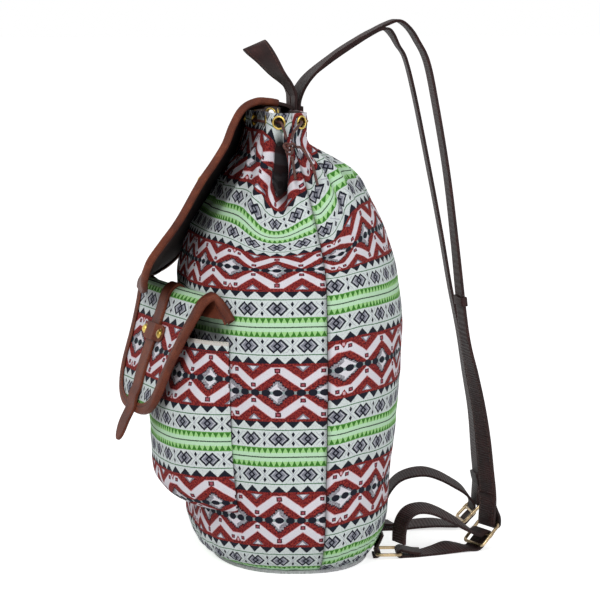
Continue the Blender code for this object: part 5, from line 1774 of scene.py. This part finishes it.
# %% Lower straps and ring tabs
WEBBING = 0.0020
WEBBING_WIDTH = 0.022
TAB_WIDTH = 0.020
RING_RETURN = ((0.0180, 0.0000), (0.0120, 0.0004), (0.0060, 0.0016), (0.0015, 0.0028))
RUN_RIGHT = (
    (0.0570, 0.0910, 0.00115, 0, 0), (0.0566, 0.1000, 0.00115, 4, 0),
    (0.0550, 0.1100, 0.0014, 8, 0), (0.0525, 0.1220, 0.0026, 11, 6),
    (0.0497, 0.1350, 0.0044, 13, 14), (0.0465, 0.1480, 0.0033, 17, 6),
    (0.0444, 0.1570, 0.0018, 19, 0),
)
ARCH_RIGHT = (
    (0.0432, 0.1610, 0.0155, 18, 6), (0.0445, 0.1550, 0.0190, 14, 12),
    (0.0460, 0.1450, 0.0255, 10, 17), (0.0510, 0.1270, 0.0360, 8, 18),
    (0.0550, 0.1140, 0.0415, 10, 16), (0.0590, 0.1020, 0.0425, 14, 10),
    (0.0610, 0.0945, 0.0395, 16, 5), (0.0620, 0.0895, 0.0330, 17, 0),
    (0.0625, 0.0870, 0.0240, 17, 0), (0.0625, 0.0865, 0.0130, 17, 0),
)
RUN_LEFT = (
    (-0.0560, 0.0910, 0.00115, 0, 0), (-0.0558, 0.1000, 0.00115, 0, 0),
    (-0.0550, 0.1120, 0.0016, 0, 2), (-0.0535, 0.1280, 0.0040, 0, 8),
    (-0.0510, 0.1440, 0.0050, 0, 8), (-0.0480, 0.1560, 0.0044, 0, 4),
    (-0.0460, 0.1648, 0.0038, 0, 0),
)
ARCH_LEFT = (
    (-0.0452, 0.1800, 0.0245, 0, 4), (-0.0456, 0.1770, 0.0300, 0, 8),
    (-0.0465, 0.1710, 0.0370, 0, 12), (-0.0480, 0.1620, 0.0430, 0, 14),
    (-0.0500, 0.1490, 0.0500, 0, 14), (-0.0540, 0.1360, 0.0535, 0, 12),
    (-0.0560, 0.1220, 0.0520, 0, 9), (-0.0575, 0.1110, 0.0470, 0, 5),
    (-0.0585, 0.1030, 0.0380, 0, 2), (-0.0590, 0.0985, 0.0280, 0, 0),
    (-0.0590, 0.0975, 0.0160, 0, 0),
)


def lower_stations(ring, centre, yaw, run, arch, wrap_angles):
    """Sewn round the ring, along the floor, round the slide's bar and out to the tail."""
    wrap = BAR + BEND_CLEAR + WEBBING / 2
    across, along = ring_ways(ring)
    up = Vector((0, 0, 1))
    bar = ring + along * RING_LENGTH / 2
    stations = [(bar + along * out + up * rise, across) for out, rise in RING_RETURN]
    stations += wrapped(bar, along, wrap, (90, 135, 180, 225, 270), across)
    stations += [(Vector(point), turned_way(turn, tilt)) for *point, turn, tilt in run]
    wide = turned_way(yaw)
    for s in (-SLIDE_LENGTH / 2, -SLIDE_LENGTH / 4, 0):
        stations.append((slide_place(centre, yaw, s, -wrap), wide))
    for degrees in wrap_angles:
        a = math.radians(degrees)
        stations.append((slide_place(centre, yaw, wrap * math.cos(a), wrap * math.sin(a)), wide))
    return stations + [(Vector(point), turned_way(turn, tilt)) for *point, turn, tilt in arch]


def back_wall(x, z, off):
    """Point off the back of the sack by the given distance."""
    half = smooth_between(SACK_LEVELS, z)[0]
    degrees = math.degrees(math.acos(power(x / half, BACK_ROUNDNESS / 2)))
    return sack(degrees, z) + sack_normal(degrees, z) * off


def tab_stations(ring):
    across, along = ring_ways(ring)
    wrap = BAR + BEND_CLEAR + WEBBING / 2
    bar = ring - along * RING_LENGTH / 2
    stations = [(back_wall(bar.x, z, 0.0012 + WEBBING / 2), across)
                for z in (0.022, 0.016, 0.0115)]
    stations += wrapped(bar, along, wrap, (90, 45, 0, -45, -90), across)
    return stations + [(bar - along * 0.0030 - Vector((0, 0, wrap)), across)]


for end, side, ring, slide, run, arch, turns in (
        ("near", "right", RING_RIGHT, SLIDE_RIGHT, RUN_RIGHT, ARCH_RIGHT, (315, 0, 45, 90)),
        ("far", "left", RING_LEFT, SLIDE_LEFT, RUN_LEFT, ARCH_LEFT, (315, 0))):
    add_strip("lower_strap_" + end, lower_stations(ring, *slide, run, arch, turns),
              WEBBING_WIDTH, WEBBING, BROWN_WEB, "dark_leather", "lower_strap_" + side)
for end, side, ring in (("near", "right", RING_RIGHT), ("far", "left", RING_LEFT)):
    add_strip("ring_tab_" + end, tab_stations(ring), TAB_WIDTH, WEBBING, BROWN,
              "dark_leather", "ring_tab_" + side)
print("straps done")

# %% [markdown]
# ## Bottom of the sack
#
# The bottom is a flat panel of plain cotton, sewn to the side panels a little inside their
# folded edge.

# %% Bottom panel
BOTTOM_EDGES = 96
BOTTOM_HEIGHT = 0.0030


def add_bottom():
    bm = bmesh.new()
    outline = [sack(360 * k / BOTTOM_EDGES, SACK_LEVELS[0][0]) for k in range(BOTTOM_EDGES)]
    floor = bm.faces.new([bm.verts.new((p.x, p.y, 0)) for p in outline])
    lifted = bmesh.ops.extrude_face_region(bm, geom=[floor])["geom"]
    bmesh.ops.translate(bm, verts=[g for g in lifted if isinstance(g, bmesh.types.BMVert)],
                        vec=(0, 0, BOTTOM_HEIGHT))
    bmesh.ops.recalc_face_normals(bm, faces=bm.faces)
    bottom = settle(add_mesh("bottom_cloth", bm, [PLAIN_COTTON]), 40)
    take_place(bottom, "printed_canvas", "base_panel")


add_bottom()

# %% [markdown]
# ## The soft sheets
#
# The lid and the pocket flap hang free. The areas of all the cloth pieces are measured from their
# volumes.

def flat_area(thing, thickness):
    """Area of one face of a sheet, from its volume."""
    bm = bmesh.new()
    bm.from_mesh(thing.data)
    volume = abs(bm.calc_volume(signed=True))
    bm.free()
    return volume / thickness


for thing, thickness in ((front, PANEL_CLOTH), (back, PANEL_CLOTH), (pocket, PANEL_CLOTH),
                         (flap, FLAP_CLOTH), (lid, LID_CLOTH)):
    print(thing.name, "cloth, cm2:", round(10000 * flat_area(thing, thickness)))
